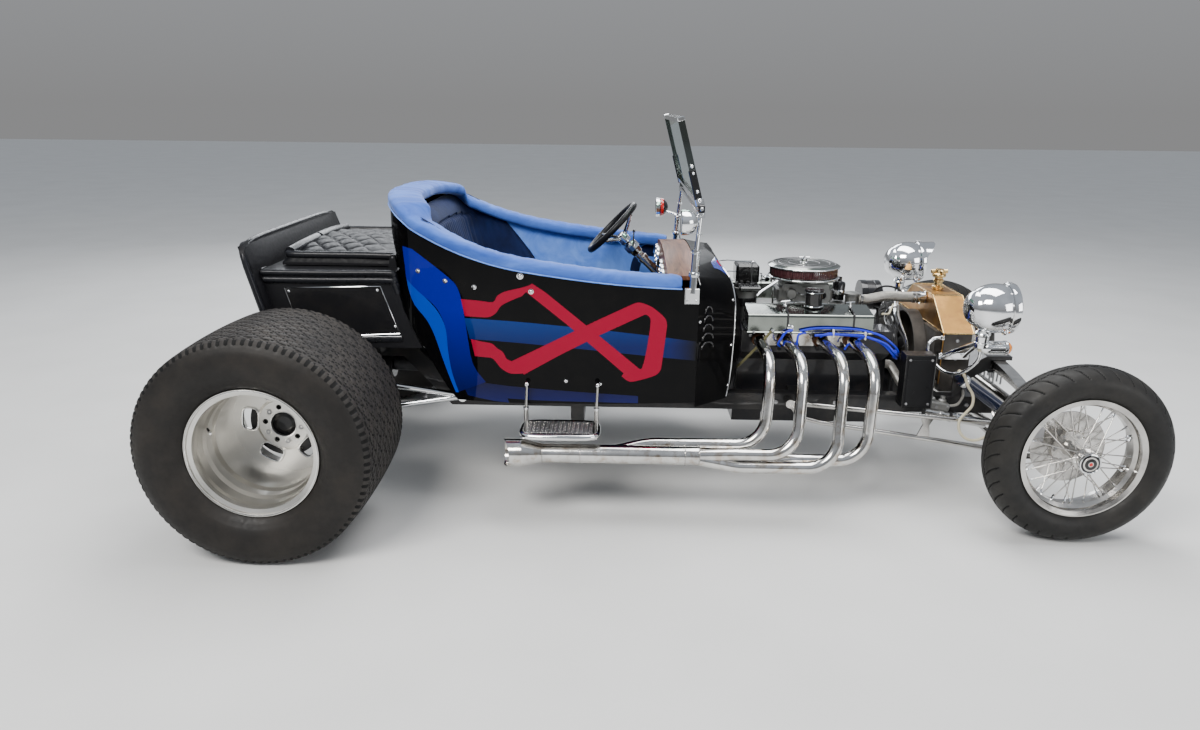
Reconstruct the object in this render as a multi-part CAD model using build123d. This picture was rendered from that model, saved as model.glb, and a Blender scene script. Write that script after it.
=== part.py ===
from build123d import *
import math
import os

os.makedirs("parts", exist_ok=True)

# Open two-seat hot rod. Millimetres, +X forward, +Y to the vehicle's left, +Z up,
# origin on the ground under the middle of the outer box.

# ---------------------------------------------------------------- driving sizes
REAR_R, REAR_X, REAR_Y = 372.0, -1285.5, 812.0      # rear tyre radius, axle x, tyre centre |y|
FRONT_R, FRONT_X, FRONT_Y = 306.5, 1351.0, 722.0    # front tyre radius, axle x, tyre centre |y|
REAR_RIM_R, REAR_RIM_HALF = 207.5, 200.6            # flange radius, half width over flanges
FRONT_RIM_R, FRONT_RIM_HALF = 204.5, 52.5
DISC_Y = 735.0                                      # |y| of the rear wheel's centre plate
KING_Y = 600.0                                      # |y| of the kingpin axis
SPINDLE_R, KINGPIN_R, STUD_R = 16.0, 11.0, 6.0
RUN_GAP = 0.05                                      # radial clearance of running fits
ARM_TIE, ARM_DRAG = 130.0, 75.0                     # steering arm lengths behind the kingpin
PITMAN_X, PITMAN_Y = 1200.0, 255.0                  # steering box output shaft
RAIL_IN, RAIL_OUT = 280.0, 330.0                    # frame rail |y|
RAIL_LOW, RAIL_TOP = 307.0, 371.0
SHELL = 12.0                                        # body wall, skin with its inner liner
BODY_LOW = 393.0
PAD_RISE, PAD_OUT, PAD_IN = 46.0, 7.0, 74.0         # padded rim: height, overhang out, reach in
TRUNK_HALF, TRUNK_LOW, TRUNK_TOP, TRUNK_WALL = 455.0, 562.0, 835.0, 20.0
LID_PIVOT_X, LID_PIVOT_Z, LID_PIN_R = -984.0, 874.0, 3.5
KNUCKLE_X, KNUCKLE_Z = 97.0, 1071.0                 # windshield fold axis
WHEEL_C = (-208.0, 290.0, 902.0)                    # steering wheel centre
COLUMN_DEG = 44.0                                   # column slope below horizontal
HUB_DROP = 62.0                                     # dish of the steering wheel: hub ahead of the rim
LAMP_Y, LAMP_Z, LAMP_R = 480.0, 742.0, 84.0
STAND_X = 1092.0                                    # headlight stand


# ---------------------------------------------------------------- helpers
def box(x0, x1, y0, y1, z0, z1):
    return Pos((x0 + x1) / 2, (y0 + y1) / 2, (z0 + z1) / 2) * Box(x1 - x0, y1 - y0, z1 - z0)


def rod(p, q, r):
    p, q = Vector(*p), Vector(*q)
    return Solid.make_cylinder(r, (q - p).length, Plane(origin=p, z_dir=(q - p)))


def path_face(start, segs, put):
    """Face from a start point and segments: (x, y) a line, (mx, my, x, y) an arc."""
    edges, p = [], start
    for s in segs:
        q = s[-2:]
        if len(s) == 2:
            edges.append(Edge.make_line(put(*p), put(*q)))
        else:
            edges.append(Edge.make_three_point_arc(put(*p), put(*s[:2]), put(*q)))
        p = q
    if (put(*p) - put(*start)).length > 1e-6:
        edges.append(Edge.make_line(put(*p), put(*start)))
    return Face(Wire(edges))


def xz(y):
    return lambda a, b: Vector(a, y, b)


def yz(x):
    return lambda a, b: Vector(x, a, b)


def xy(z):
    return lambda a, b: Vector(a, b, z)


def slab(start, segs, put, way, amount):
    return extrude(path_face(start, segs, put), amount=amount, dir=way)


def side_slab(start, segs, y0, y1):
    return slab(start, segs, xz(y0), (0, 1, 0), y1 - y0)


def turn_y(start, segs, x, z):
    """Solid of revolution about the axle line at x, z from (radius, y) pairs."""
    face = path_face(start, segs, lambda a, b: Vector(a, b, 0))
    return Pos(x, 0, z) * revolve(face, axis=Axis.Y, revolution_arc=360)


def tube_path(points, radii, r):
    line = FilletPolyline(*[Vector(*p) for p in points], radius=radii)
    return sweep(Plane(origin=line @ 0, z_dir=line % 0) * Circle(r), path=line)


def cord_tube(points, r, label):
    """Flexible tube along straight runs with arcs as large as each pair of runs allows."""
    pts = [Vector(*p) for p in points]
    radii = []
    for a, b, c in zip(pts, pts[1:], pts[2:]):
        turn = math.radians((b - a).get_angle(c - b))
        radii.append(0.45 * min((b - a).length, (c - b).length) / math.tan(turn / 2))
    tube = tube_path(points, radii, r)
    print(label, "length", round(tube.volume / (math.pi * r * r)), "radii", [round(q) for q in radii])
    return tube


def left_of(shape):
    return mirror(shape, about=Plane.XZ)


def fuse(shapes):
    out = shapes[0]
    for s in shapes[1:]:
        out = out + s
    return out


nodes = {}


def node(name, *shapes):
    solids = []
    for s in shapes:
        solids += list(s.solids())
    nodes[name] = Compound(children=solids) if len(solids) > 1 else solids[0]


# ---------------------------------------------------------------- rear wheels and tyres
def rear_wheel(s):
    """s = -1 right, +1 left. Barrel, centre plate, drum and half shaft stub."""
    c, h, f = REAR_Y, REAR_RIM_HALF, REAR_RIM_R
    pts = [(f, c + h - 9), (190.6, c + h - 11), (190.6, 902), (178, 882), (178, 680), (190.6, 662),
           (190.6, c - h + 11), (f, c - h + 9), (f, c - h), (200, c - h), (184, c - h + 12),
           (184, 664), (171, 684), (171, DISC_Y - 6), (96, DISC_Y - 6), (86, DISC_Y - 1),
           (41.5, DISC_Y - 1), (41.5, DISC_Y + 9), (82, DISC_Y + 9), (92, DISC_Y + 4),
           (171, DISC_Y + 4), (171, 872), (176.5, 890), (176.5, 922), (183, 936), (184.5, 970), (187, 982),
           (187, c + h - 11), (199, c + h - 6), (200, c + h), (f, c + h)]
    rim = turn_y((pts[-1][0], pts[-1][1] * s), [(a, b * s) for a, b in pts[:-1]], REAR_X, REAR_R)
    cuts = []
    for k in range(5):
        a = math.radians(28 + 72 * k)
        at = Pos(REAR_X, s * DISC_Y, REAR_R) * Rot(0, -math.degrees(a), 0)
        win = Plane.XZ * RectangleRounded(51, 74, 17)
        cuts.append(at * Pos(112, 0, 0) * extrude(win, amount=30, both=True))
        lug = Plane.XZ * Circle(9)
        cuts.append(at * Pos(60.3, 0, 0) * extrude(lug, amount=30, both=True))
    for cut in cuts:
        rim = rim - cut
    # brake drum behind the plate, turning on the axle's end
    drum = turn_y((118, 662 * s), [(118, 724 * s), (84, 728.6 * s), (38, 728.6 * s), (24, 735 * s), (0, 737 * s),
                                   (0, 722 * s), (17.0, 722 * s), (17.0, 650 * s), (28, 650 * s), (28, 714 * s),
                                   (110, 714 * s), (110, 662 * s)], REAR_X, REAR_R)
    return rim, drum


def rear_tyre(s):
    def put(a, b):
        return (a, (REAR_Y + b) * s)
    out = [(207, 188.5), (211, 198), (285, 236, 352, 221), (362, 213, 365.5, 200),
           (372, 0, 365.5, -200), (362, -213, 352, -221), (285, -236, 211, -198), (207, -188.5),
           (191, -188), (191, -168), (215, -180), (285, -218, 345, -203), (352, -185),
           (357.5, 0, 352, 185), (345, 203), (285, 218, 215, 180), (191, 168)]
    segs = []
    for q in out:
        segs.append(put(*q) if len(q) == 2 else put(*q[:2]) + put(*q[2:]))
    return turn_y(put(191, 188), segs, REAR_X, REAR_R)


# ---------------------------------------------------------------- front wheels and tyres
SPOKES_A_SIDE = 20


def front_wheel(s):
    """Steel rim, hub, brake disc and wire spokes; the spokes stop just short of both."""
    c = FRONT_Y
    h, f = FRONT_RIM_HALF, FRONT_RIM_R
    pts = [(f, h - 5), (191, h - 7), (190, 28), (179, 20), (179, -20), (190, -28), (191, -h + 7),
           (f, -h + 5), (f, -h), (200, -h), (187, -h + 4), (186, -27), (175, -18), (175, 18),
           (186, 27), (187, h - 4), (200, h), (f, h)]
    rim = turn_y((f, (c + h) * s), [(a, (c + b) * s) for a, b in pts[:-1]], FRONT_X, FRONT_R)
    b0 = SPINDLE_R + RUN_GAP
    hub = [(b0, 649), (125, 652), (125, 659), (62, 659), (62, 668), (60, 675), (27, 675), (24, 690),
           (24, 765), (36, 768), (38, 774), (30, 777), (33, 790), (33, 806), (24, 815), (0, 817.5),
           (0, 793), (b0, 793)]
    hub = turn_y((b0, 649 * s), [(a, b * s) for a, b in hub[1:]], FRONT_X, FRONT_R)
    wires = []
    for side, r_hub, y_hub in ((1, 31, 771), (-1, 53, 671.5)):
        for k in range(SPOKES_A_SIDE):
            lean = 1 if k % 2 else -1
            a0 = math.radians(360 * k / SPOKES_A_SIDE + (0 if side > 0 else 9))
            a1 = a0 + lean * math.radians(38 if side > 0 else 30)
            y0 = y_hub + (3.9 + 2.3) * (lean if side > 0 else -lean)
            y1 = c + side * 6 + lean * 2.2
            p = Vector(FRONT_X + r_hub * math.cos(a0), y0 * s, FRONT_R + r_hub * math.sin(a0))
            q = Vector(FRONT_X + 174.6 * math.cos(a1), y1 * s, FRONT_R + 174.6 * math.sin(a1))
            wires.append(rod(tuple(p), tuple(q), 1.9))
    return rim, hub, wires


def front_tyre(s):
    def put(a, b):
        return (a, (FRONT_Y + b) * s)
    out = [(204, 45), (208, 50), (246, 70, 280, 58), (306.5, 0, 280, -58), (246, -70, 208, -50),
           (204, -45), (191, -45.3), (191, -36), (212, -42), (246, -58, 270, -50),
           (294, 0, 270, 50), (246, 58, 212, 42), (191, 36)]
    segs = []
    for q in out:
        segs.append(put(*q) if len(q) == 2 else put(*q[:2]) + put(*q[2:]))
    return turn_y(put(191, 45.3), segs, FRONT_X, FRONT_R)


for s, side in ((-1, "right"), (1, "left")):
    rim, drum = rear_wheel(s)
    node("rear_wheel_" + side, rim)
    node("rear_drum_" + side, drum)
    node("rear_tyre_" + side, rear_tyre(s))
    rim, hub, wires = front_wheel(s)
    node("front_wheel_" + side, rim, hub, *wires)
    node("front_tyre_" + side, front_tyre(s))

# ---------------------------------------------------------------- knuckles and steering rods
EAR_LOW, EAR_TOP = 242.5, 265.5
ARM_LOW, ARM_TOP = 249.0, 261.0


def knuckle(s):
    x, k, z = FRONT_X, KING_Y, FRONT_R
    parts = [box(x - 22, x + 22, 578, 645, 347.5, 370.5), box(x - 22, x + 22, 578, 645, EAR_LOW, EAR_TOP),
             box(x - 22, x + 22, 627, 645, EAR_LOW, 370.5), rod((x, k, EAR_LOW), (x, k, 370.5), KINGPIN_R - RUN_GAP),
             rod((x, 640, z), (x, 790, z), SPINDLE_R),
             box(x - ARM_TIE - 14, x - 15, k - 12, k + 12, ARM_LOW, ARM_TOP)]
    body = fuse(parts)
    # brake caliper over the disc, behind and above the spindle, on a plate
    cal = box(x - 134, x - 92, 630, 674, z + 22, z + 96) - rod((x, 648, z), (x, 663, z), 128)
    plate = side_slab((x - 10, z - 12), [(x - 10, z + 40), (x - 100, z + 60), (x - 100, z + 26)], 634, 646)
    body = fuse([body, cal, plate])
    body = body - rod((x - ARM_TIE, k, 230), (x - ARM_TIE, k, 280), STUD_R + (RUN_GAP if s > 0 else 0.5))
    if s < 0:
        body = body - rod((x - ARM_DRAG, k, 230), (x - ARM_DRAG, k, 280), STUD_R + 0.5)
    return body if s > 0 else left_of(body)


node("knuckle_left", knuckle(1))
node("knuckle_right", knuckle(-1))

TIE_Z = 236.0
tie_x = FRONT_X - ARM_TIE
node("tie_rod", fuse([rod((tie_x, -KING_Y, TIE_Z), (tie_x, KING_Y, TIE_Z), 10)]
                     + [rod((tie_x, e * KING_Y, TIE_Z - 13), (tie_x, e * KING_Y, TIE_Z + 11), 14) for e in (-1, 1)]
                     + [rod((tie_x, e * KING_Y, TIE_Z), (tie_x, e * KING_Y, ARM_TOP + 5), STUD_R) for e in (-1, 1)]))
DRAG_Z = 274.0
drag_a = (FRONT_X - ARM_DRAG, -KING_Y)
drag_b = (PITMAN_X - ARM_DRAG, PITMAN_Y)
node("drag_link", fuse([rod(drag_a + (DRAG_Z,), drag_b + (DRAG_Z,), 9),
                        rod(drag_a + (DRAG_Z - 11,), drag_a + (DRAG_Z + 9,), 13),
                        rod(drag_b + (DRAG_Z - 11,), drag_b + (DRAG_Z + 9,), 13),
                        rod(drag_a + (ARM_LOW - 4,), drag_a + (DRAG_Z,), STUD_R),
                        rod(drag_b + (DRAG_Z,), drag_b + (302,), STUD_R)]))
pitman = box(drag_b[0] - 15, PITMAN_X, PITMAN_Y - 13, PITMAN_Y + 13, 288, 300) \
    + rod((PITMAN_X, PITMAN_Y, 286), (PITMAN_X, PITMAN_Y, 302), 19) \
    + rod((PITMAN_X, PITMAN_Y, 287), (PITMAN_X, PITMAN_Y, 410), 12)
node("pitman_arm", pitman - rod(drag_b + (280,), drag_b + (310,), STUD_R + RUN_GAP))

# steering column: upper tube in the cockpit, lower shaft along the left rail, and the box
cs, sn = math.cos(math.radians(COLUMN_DEG)), math.sin(math.radians(COLUMN_DEG))


def on_column(d, off=0.0):
    """Point d ahead of the steering wheel's centre along the column."""
    return (WHEEL_C[0] + d * cs, WHEEL_C[1], WHEEL_C[2] - d * sn)


joint_p = on_column(690)
column = rod(on_column(HUB_DROP + 34), on_column(600), 19) - rod(on_column(HUB_DROP), on_column(HUB_DROP + 120), 9 + RUN_GAP)
steer_box = box(1165, 1235, 214, 296, 372.0, 436) - rod((PITMAN_X, PITMAN_Y, 300), (PITMAN_X, PITMAN_Y, 411), 12 + RUN_GAP)
upper = column + rod(on_column(560), joint_p, 9)
lower = rod(joint_p, (1170, 285, 405), 8) + rod(on_column(668), on_column(704), 14)
node("steering_column", fuse([upper, lower, steer_box]))

wheel = rod((0, 0, -HUB_DROP - 24), (0, 0, -HUB_DROP + 14), 24) + rod((0, 0, -HUB_DROP - 116), (0, 0, -HUB_DROP), 9)
for k in range(3):
    a = math.radians(120 * k)
    wheel = wheel + rod((0, 0, -HUB_DROP), (131 * math.cos(a), 131 * math.sin(a), 0), 6)
wheel = wheel + Rot(0, 0, 60) * Torus(131, 12.5)
node("steering_wheel", Plane(origin=WHEEL_C, x_dir=(sn, 0, cs), z_dir=(-cs, 0, sn)) * wheel)

# ---------------------------------------------------------------- frame
rail_pts = [(-1430, 555), (-945, 555), (-770, RAIL_TOP), (1240, RAIL_TOP), (1240, RAIL_LOW),
            (-800, RAIL_LOW), (-975, 495)]
rails = [side_slab((-1430, 495), rail_pts, a, b) for a, b in ((RAIL_IN, RAIL_OUT), (-RAIL_OUT, -RAIL_IN))]
# crossmembers: x0, x1, z0, z1
cross = [(-1425, -1375, 497, 553), (-1110, -1070, 497, 553), (-884, -840, 404, 446), (1115, 1172, 309, 369)]
members = [box(a, b, -RAIL_IN - 5, RAIL_IN + 5, c, d) for a, b, c, d in cross]
members += [box(-350, -300, -RAIL_OUT + 4, RAIL_OUT - 4, 232, 262)]
members += [box(-350, -300, e * 305 - 20, e * 305 + 20, 250, RAIL_LOW + 5) for e in (-1, 1)]
members += [box(480, 530, 203.3, RAIL_IN + 5, 335, 366), box(480, 530, -RAIL_IN - 5, -203.3, 335, 366)]
members += [box(a - 25, a + 25, e * 305 - 20, e * 305 + 20, RAIL_TOP - 5, BODY_LOW - 0.3)
            for a in (-620, -150, 60) for e in (-1, 1)]
members += [box(1070, 1104, min(e * 322, e * 333.7), max(e * 322, e * 333.7), 366, 464) for e in (-1, 1)]
perch = side_slab((1160, 320), [(1160, 366), (1300, 452), (1402, 452), (1402, 436.5), (1300, 436.5), (1200, 372),
                                (1180, 320)], -58, 58)
cheeks = [side_slab((1182, 325), [(1190, 380), (1296, 446), (1318, 446), (1318, 400)], a, b) for a, b in ((-58, -50), (50, 58))]
plate = [box(1315, 1387, -58, 58, 385, 396.8)]
plate += [rod((a, b, 386), (a, b, 440), 4) for a in (1321, 1381) for b in (-45, 45)]
frame = fuse(rails + members + [perch] + cheeks + plate)
for e in (-1, 1):
    frame = frame - rod((-1430, e * 89, 525), (-1370, e * 89, 525), 4)
node("frame", frame)

# ---------------------------------------------------------------- front axle, spring, radius rods
axle = fuse([rod((FRONT_X, -582, FRONT_R), (FRONT_X, 582, FRONT_R), 24)]
            + [rod((FRONT_X, e * KING_Y, 266.5), (FRONT_X, e * KING_Y, 346.5), 24) for e in (-1, 1)]
            + [box(FRONT_X - 50, FRONT_X + 10, e * 455 - 8, e * 455 + 8, 180, 334) for e in (-1, 1)]
            + [box(FRONT_X - 12, FRONT_X + 12, e * 415 - 10, e * 415 + 10, 320, 366) for e in (-1, 1)]
            + [box(1306, FRONT_X - 6, e * 380.3 - 4, e * 380.3 + 4, 279, 312) for e in (-1, 1)])
for e in (-1, 1):
    axle = axle - rod((FRONT_X, e * KING_Y, 260), (FRONT_X, e * KING_Y, 350), KINGPIN_R)
node("front_axle", axle)
leaf = path_face((-440, 367), [(0, 398, 440, 367), (440, 377), (300, 399), (0, 436, -300, 399), (-440, 377)],
                 yz(FRONT_X - 24))
node("front_spring", extrude(leaf, amount=48, dir=(1, 0, 0)))

# hairpin radius rods: x, |y|, z of the ends
HAIR_PIVOT = (462, 385, 354)
HAIR_UP = (1298.5, 455, 303)
HAIR_LOW = (1298.5, 455, 198)
hair = []
for e in (-1, 1):
    def q(p):
        return (p[0], e * p[1], p[2])
    bend = (575, 396, 283)
    loop = tube_path([q(HAIR_PIVOT), q((500, 389, 300)), q(bend), q(HAIR_LOW)], [24, 60], 9)
    top = rod(q(HAIR_PIVOT), q(HAIR_UP), 9)
    gusset = side_slab((930, 330), [(985, 327), (966, 290), (972, 244), (925, 250), (942, 292)],
                       e * 426 - 3, e * 426 + 3)
    eye = rod((462, e * 332, 352), (462, e * 396, 352), 16)
    hair.append(fuse([top, loop, gusset, eye]))
node("front_radius_rods", *hair)

# front dampers: tube on the frame's bracket, shaft down to the axle
dampers = []
for e in (-1, 1):
    top, low, eye = (1087, e * 360, 447), (1262, e * 360, 327), (1318, e * 360, 291)
    dampers.append(fuse([rod(top, low, 23), rod(low, eye, 9), rod((top[0], e * 334, top[2]), top, 13),
                         rod((eye[0], e * 348, eye[2]), (eye[0], e * 376, eye[2]), 12)]))
node("front_dampers", *dampers)

# brake hoses: flexible, from a union on the frame's bracket to a union on the axle
HOSE = [(1087, 370, 470), (1087, 394, 466), (1096, 404, 436), (1120, 408, 402), (1118, 418, 366), (1088, 438, 344), (1060, 454, 322),
        (1057, 468, 288), (1078, 482, 260), (1114, 492, 257), (1150, 502, 282), (1196, 509, 322), (1250, 513, 350),
        (1304, 515, 357), (1349, 515, 342)]
hoses = []
for e in (-1, 1):
    line = cord_tube([(a, e * b, c) for a, b, c in HOSE], 5, "brake hose")
    hoses.append(fuse([line, rod((1087, e * 334.2, 470), (1087, e * 377, 470), 7),
                       box(1339, 1359, e * 515 - 9, e * 515 + 9, 330.8, 349)]))
node("brake_hoses", *hoses)

# ---------------------------------------------------------------- rear axle and springs
ax = [rod((REAR_X, -644, REAR_R), (REAR_X, 644, REAR_R), 38)]
ax += [rod((REAR_X, e * 640, REAR_R), (REAR_X, e * 646, REAR_R), 60) for e in (-1, 1)]
ax += [turn_y((0, -118), [(52, -112), (104, -78, 122, -20), (122, 20), (104, 78, 52, 112), (0, 118)], REAR_X, REAR_R)]
ax += [rod((REAR_X + 60, 0, REAR_R), (REAR_X + 190, 0, REAR_R), 58)]
ax += [box(REAR_X - 12, REAR_X + 46, e * 440 - 8, e * 440 + 8, 280, 462) for e in (-1, 1)]
ax += [box(REAR_X - 70, REAR_X - 20, e * 385 - 20, e * 385 + 20, 345, 372) for e in (-1, 1)]
axle = fuse(ax)
for e in (-1, 1):
    axle = axle - rod((REAR_X, e * 600, REAR_R), (REAR_X, e * 650, REAR_R), 29.5)
node("rear_axle", axle)
shafts = []
coils = []
for e in (-1, 1):
    top = (REAR_X - 52, e * 366, 553)
    low = (REAR_X - 51.5, e * 385, 377.5)
    mid = tuple(low[i] + 0.30 * (top[i] - low[i]) for i in range(3))
    coils.append(fuse([rod(low, top, 11), rod(mid, tuple(low[i] + 0.93 * (top[i] - low[i]) for i in range(3)), 29),
                       rod((top[0], e * 330.3, 540), (top[0], e * 385, 540), 14)]))
node("rear_springs", *coils)
bars = []
for e in (-1, 1):
    piv = (-745, e * 362, 352)
    up = (REAR_X + 49.5, e * 440, 446)
    low = (REAR_X + 49.5, e * 440, 296)
    bars.append(fuse([rod(up, (-760, e * 364, 358), 11), rod(low, piv, 11), rod((-752, e * 331, 352), (-752, e * 378, 352), 17)]))
node("rear_radius_rods", *bars)

# ---------------------------------------------------------------- engine and gearbox
half = [(125, 190), (140, 300), (203, 335), (203, 470), (285, 520), (285, 603.5), (160, 603.5), (95, 560)]
section = half + [(-a, b) for a, b in reversed(half)]
block = slab(section[0], section[1:], yz(285), (1, 0, 0), 555)
node("engine_block", block)
covers = []
for e in (-1, 1):
    face = path_face((e * 333, 604), [(e * 334, 662), (e * 331, 672, e * 322, 676), (e * 226, 690), (e * 211, 689, e * 204, 677),
                                      (e * 190, 604)], yz(300))
    covers.append(extrude(face, amount=455, dir=(1, 0, 0)))
node("valve_covers", *covers)
intake = fuse([slab((-95, 561), [(-140, 604), (-120, 640), (120, 640), (140, 604), (95, 561)], yz(360), (1, 0, 0), 400),
               box(470, 650, -62, 62, 640, 735), rod((560, 0, 735), (560, 0, 752), 60),
               rod((752, -15, 590), (752, -15, 694), 25)])
dist = fuse([rod((325, 0, 560.5), (325, 0, 640), 22), rod((325, 0, 640), (325, 0, 712), 52)])
node("intake_carburettor", intake, dist)
AIR_X, AIR_R = 557.0, 138.5
air = Pos(AIR_X, 0, 0) * revolve(path_face((0, 752.5), [(AIR_R - 4, 752.5), (AIR_R - 4, 762), (AIR_R - 9, 764), (AIR_R - 9, 795),
                                                      (AIR_R, 797), (AIR_R, 804), (AIR_R - 12, 810), (14, 812), (10, 824), (0, 824)],
                                         lambda a, b: Vector(a, 0, b)), axis=Axis.Z, revolution_arc=360)
node("air_cleaner", air)
front = [rod((840.5, 0, 470), (905, 0, 470), 62), rod((905, 0, 470), (925, 0, 470), 86),
         rod((840.5, 0, 300), (890, 0, 300), 60), rod((890, 0, 300), (925, 0, 300), 88),
         rod((925, 0, 470), (960, 0, 470), 26), box(840.5, 870, -150, 150, 330, 540),
         rod((842, 215, 640), (925, 215, 640), 62), rod((925, 215, 640), (936, 215, 640), 36),
         box(841, 865, 140, 240, 500, 600)]
for k in range(6):
    a = math.radians(60 * k)
    blade = box(946, 950, -24, 24, 20, 140)
    front.append(Pos(0, 0, 470) * Rot(60 * k, 0, 0) * blade)
node("fan_and_pulleys", fuse(front))
gear = [rod((130, 0, 385), (284.5, 0, 385), 152), rod((-60, 0, 372), (131, 0, 372), 132),
        rod((-326, 0, 340), (-59, 0, 340), 72)]
drive = rod((-320, 0, 340), (REAR_X + 192.5, 0, REAR_R), 30)
node("gearbox", fuse(gear + [drive, box(-342, -300, -60, 60, 262.4, 300)]))

# ---------------------------------------------------------------- exhausts
# each pipe: port x, then corner x, y, z down, corner at the bottom, run-in, end in the collector
PIPE_R, COLL_R, COLL_Y, COLL_Z = 21.0, 33.0, 655.0, 248.5
PIPES = [
    ((345, 290, 574), (352, 572, 562), (333, 618, 276), (-60, 618, 276), (-210, 648, 252), [125, 100, 300]),
    ((440, 290, 574), (462, 578, 562), (440, 662, 257), (240, 662, 257), (60, 655, 248.5), [125, 105, 300]),
    ((572, 290, 574), (603, 572, 565), (575, 664, 213), (240, 664, 213), (60, 656, 243), [125, 105, 200]),
    ((685, 290, 574), (712, 566, 562), (690, 612, 222), (240, 612, 222), (60, 648, 245), [125, 105, 200]),
]
exhausts = []
for e in (-1, 1):
    made = []
    for p0, p1, p2, p3, p4, radii in PIPES:
        made.append(tube_path([(a, e * b, c) for a, b, c in (p0, p1, p2, p3, p4)], radii, PIPE_R))
    coll = rod((110, e * COLL_Y, COLL_Z), (-440, e * COLL_Y, COLL_Z), COLL_R)
    tip = revolve(path_face((0, -430), [(COLL_R, -430), (49, -500), (49, -565), (0, -565)], lambda a, b: Vector(b, a, 0)),
                  axis=Axis.X, revolution_arc=360)
    bore = revolve(path_face((0, -420), [(COLL_R - 3, -420), (45.5, -502), (45.5, -600), (0, -600)],
                             lambda a, b: Vector(b, a, 0)), axis=Axis.X, revolution_arc=360)
    slash = Rot(0, 0, -e * 24) * box(-140, 0, -150, 150, -150, 150)
    tip = tip - Pos(-552, e * 22, 0) * slash
    flange = box(330, 715, 285.5, 293, 548, 600)
    if e < 0:
        flange = left_of(flange)
    body = fuse([coll] + made + [flange, Pos(0, e * COLL_Y, COLL_Z) * tip]) - Pos(0, e * COLL_Y, COLL_Z) * bore
    exhausts.append(body)
node("exhausts", *exhausts)

# ---------------------------------------------------------------- radiator
TANK_LOW, TANK_TOP = 597.0, 710.0
core = box(1048, 1137, -262, 262, 392, TANK_LOW - 0.3)
rails_r = [box(1042, 1143, e * 267 - 5, e * 267 + 5, 371.3, TANK_LOW - 0.3) for e in (-1, 1)]
low_tank = box(1042, 1143, -268, 268, 371.3, 400)
shroud = slab((-235, 410), [(-235, 596), (235, 596), (235, 410)], yz(1020), (1, 0, 0), 28.5) - rod((1000, 0, 470), (1044, 0, 470), 150)
ringx = rod((975, 0, 470), (1022, 0, 470), 157) - rod((960, 0, 470), (1060, 0, 470), 150)
node("radiator", fuse([core, low_tank, shroud, ringx] + rails_r))
tank = slab((-272, TANK_LOW), [(-120, TANK_TOP), (120, TANK_TOP), (272, TANK_LOW)], yz(1037), (1, 0, 0), 112)
neck = fuse([rod((1093, 0, 700), (1093, 0, 762), 15), rod((1093, 0, 762), (1093, 0, 774), 25),
             rod((1093, 0, 774), (1093, 0, 792), 16), rod((1093, 0, 716), (1093, 0, 722), 20),
             rod((1018, -32, 684), (1040, -32, 684), 22)])
node("radiator_tank", tank + neck)
hose = tube_path([(777.6, -15, 668), (815, -15, 668), (885, -28, 688), (950, -32, 684), (1017.6, -32, 684)], [90, 150, 150], 20)
low_hose = tube_path([(870.3, -110, 430), (900, -110, 430), (945, -165, 352), (982, -205, 345), (1006, -225, 386), (1041.7, -225, 386)],
                     [20, 40, 30, 18], 17)
node("radiator_hoses", hose, low_hose)

# ---------------------------------------------------------------- body tub
PLAN = [(-1035, 0), (-1018, -235, -955, -405), (-915, -458, -850, -490), (-640, -540, -400, -548),
        (-150, -541, 100, -512)]


def plan_face(z):
    segs = list(PLAN[1:]) + [(100, 512), (-150, 541, -400, 548), (-640, 540, -850, 490), (-915, 458, -955, 405),
                             (-1018, 235, -1035, 0)]
    return path_face(PLAN[0], segs, xy(z))


def plan_solid(grow, z0, z1):
    face = plan_face(z0)
    if grow:
        face = offset(face, amount=grow, kind=Kind.ARC) if grow > 0 else offset(face, amount=grow, kind=Kind.INTERSECTION)
    return extrude(face, amount=z1 - z0, dir=(0, 0, 1))


def rim_z(d):
    """Top edge of the body side, lifted by d."""
    return [(130, 796 + d), (-224, 820 + d, -520, 860 + d), (-720, 912 + d, -895, 990 + d), (-960, 1030 + d, -1080, 1052 + d)]


def above_rim(d, y=720):
    pts = rim_z(d)
    return side_slab((130, 1300), [pts[0]] + pts[1:] + [(-1200, 1052 + d), (-1200, 1300)], -y, y)


def rear_cut(d):
    return side_slab((-1300, 1045), [(-1044 + d, 1045), (-955 + d, 850), (-930 + d, 700, -852 + d, 565),
                                     (-800 + d, 470, -705 + d, BODY_LOW - 40), (-1300, BODY_LOW - 40)], -720, 720)


outer = plan_solid(0, BODY_LOW, 1200) - above_rim(0) - rear_cut(0)
inner = plan_solid(-SHELL, BODY_LOW - 10, 1210) + box(0, 160, -499, 499, BODY_LOW - 10, 1210)
inner = inner - rear_cut(SHELL)
shell = outer - inner
# floor and gearbox tunnel
floor = (plan_solid(-SHELL + 0.0, BODY_LOW, BODY_LOW + 12) - rear_cut(SHELL))
tunnel_out = side_slab((-335, BODY_LOW), [(-335, 520), (-300, 553), (258, 553), (258, BODY_LOW)], -178, 178)
tunnel_in = side_slab((-327, BODY_LOW - 20), [(-327, 515), (-296, 545), (300, 545), (300, BODY_LOW - 20)], -170, 170)
tub = (shell + floor + (tunnel_out - box(100, 300, -200, 200, 0, 900))) - tunnel_in
node("body_tub", tub)

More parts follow.
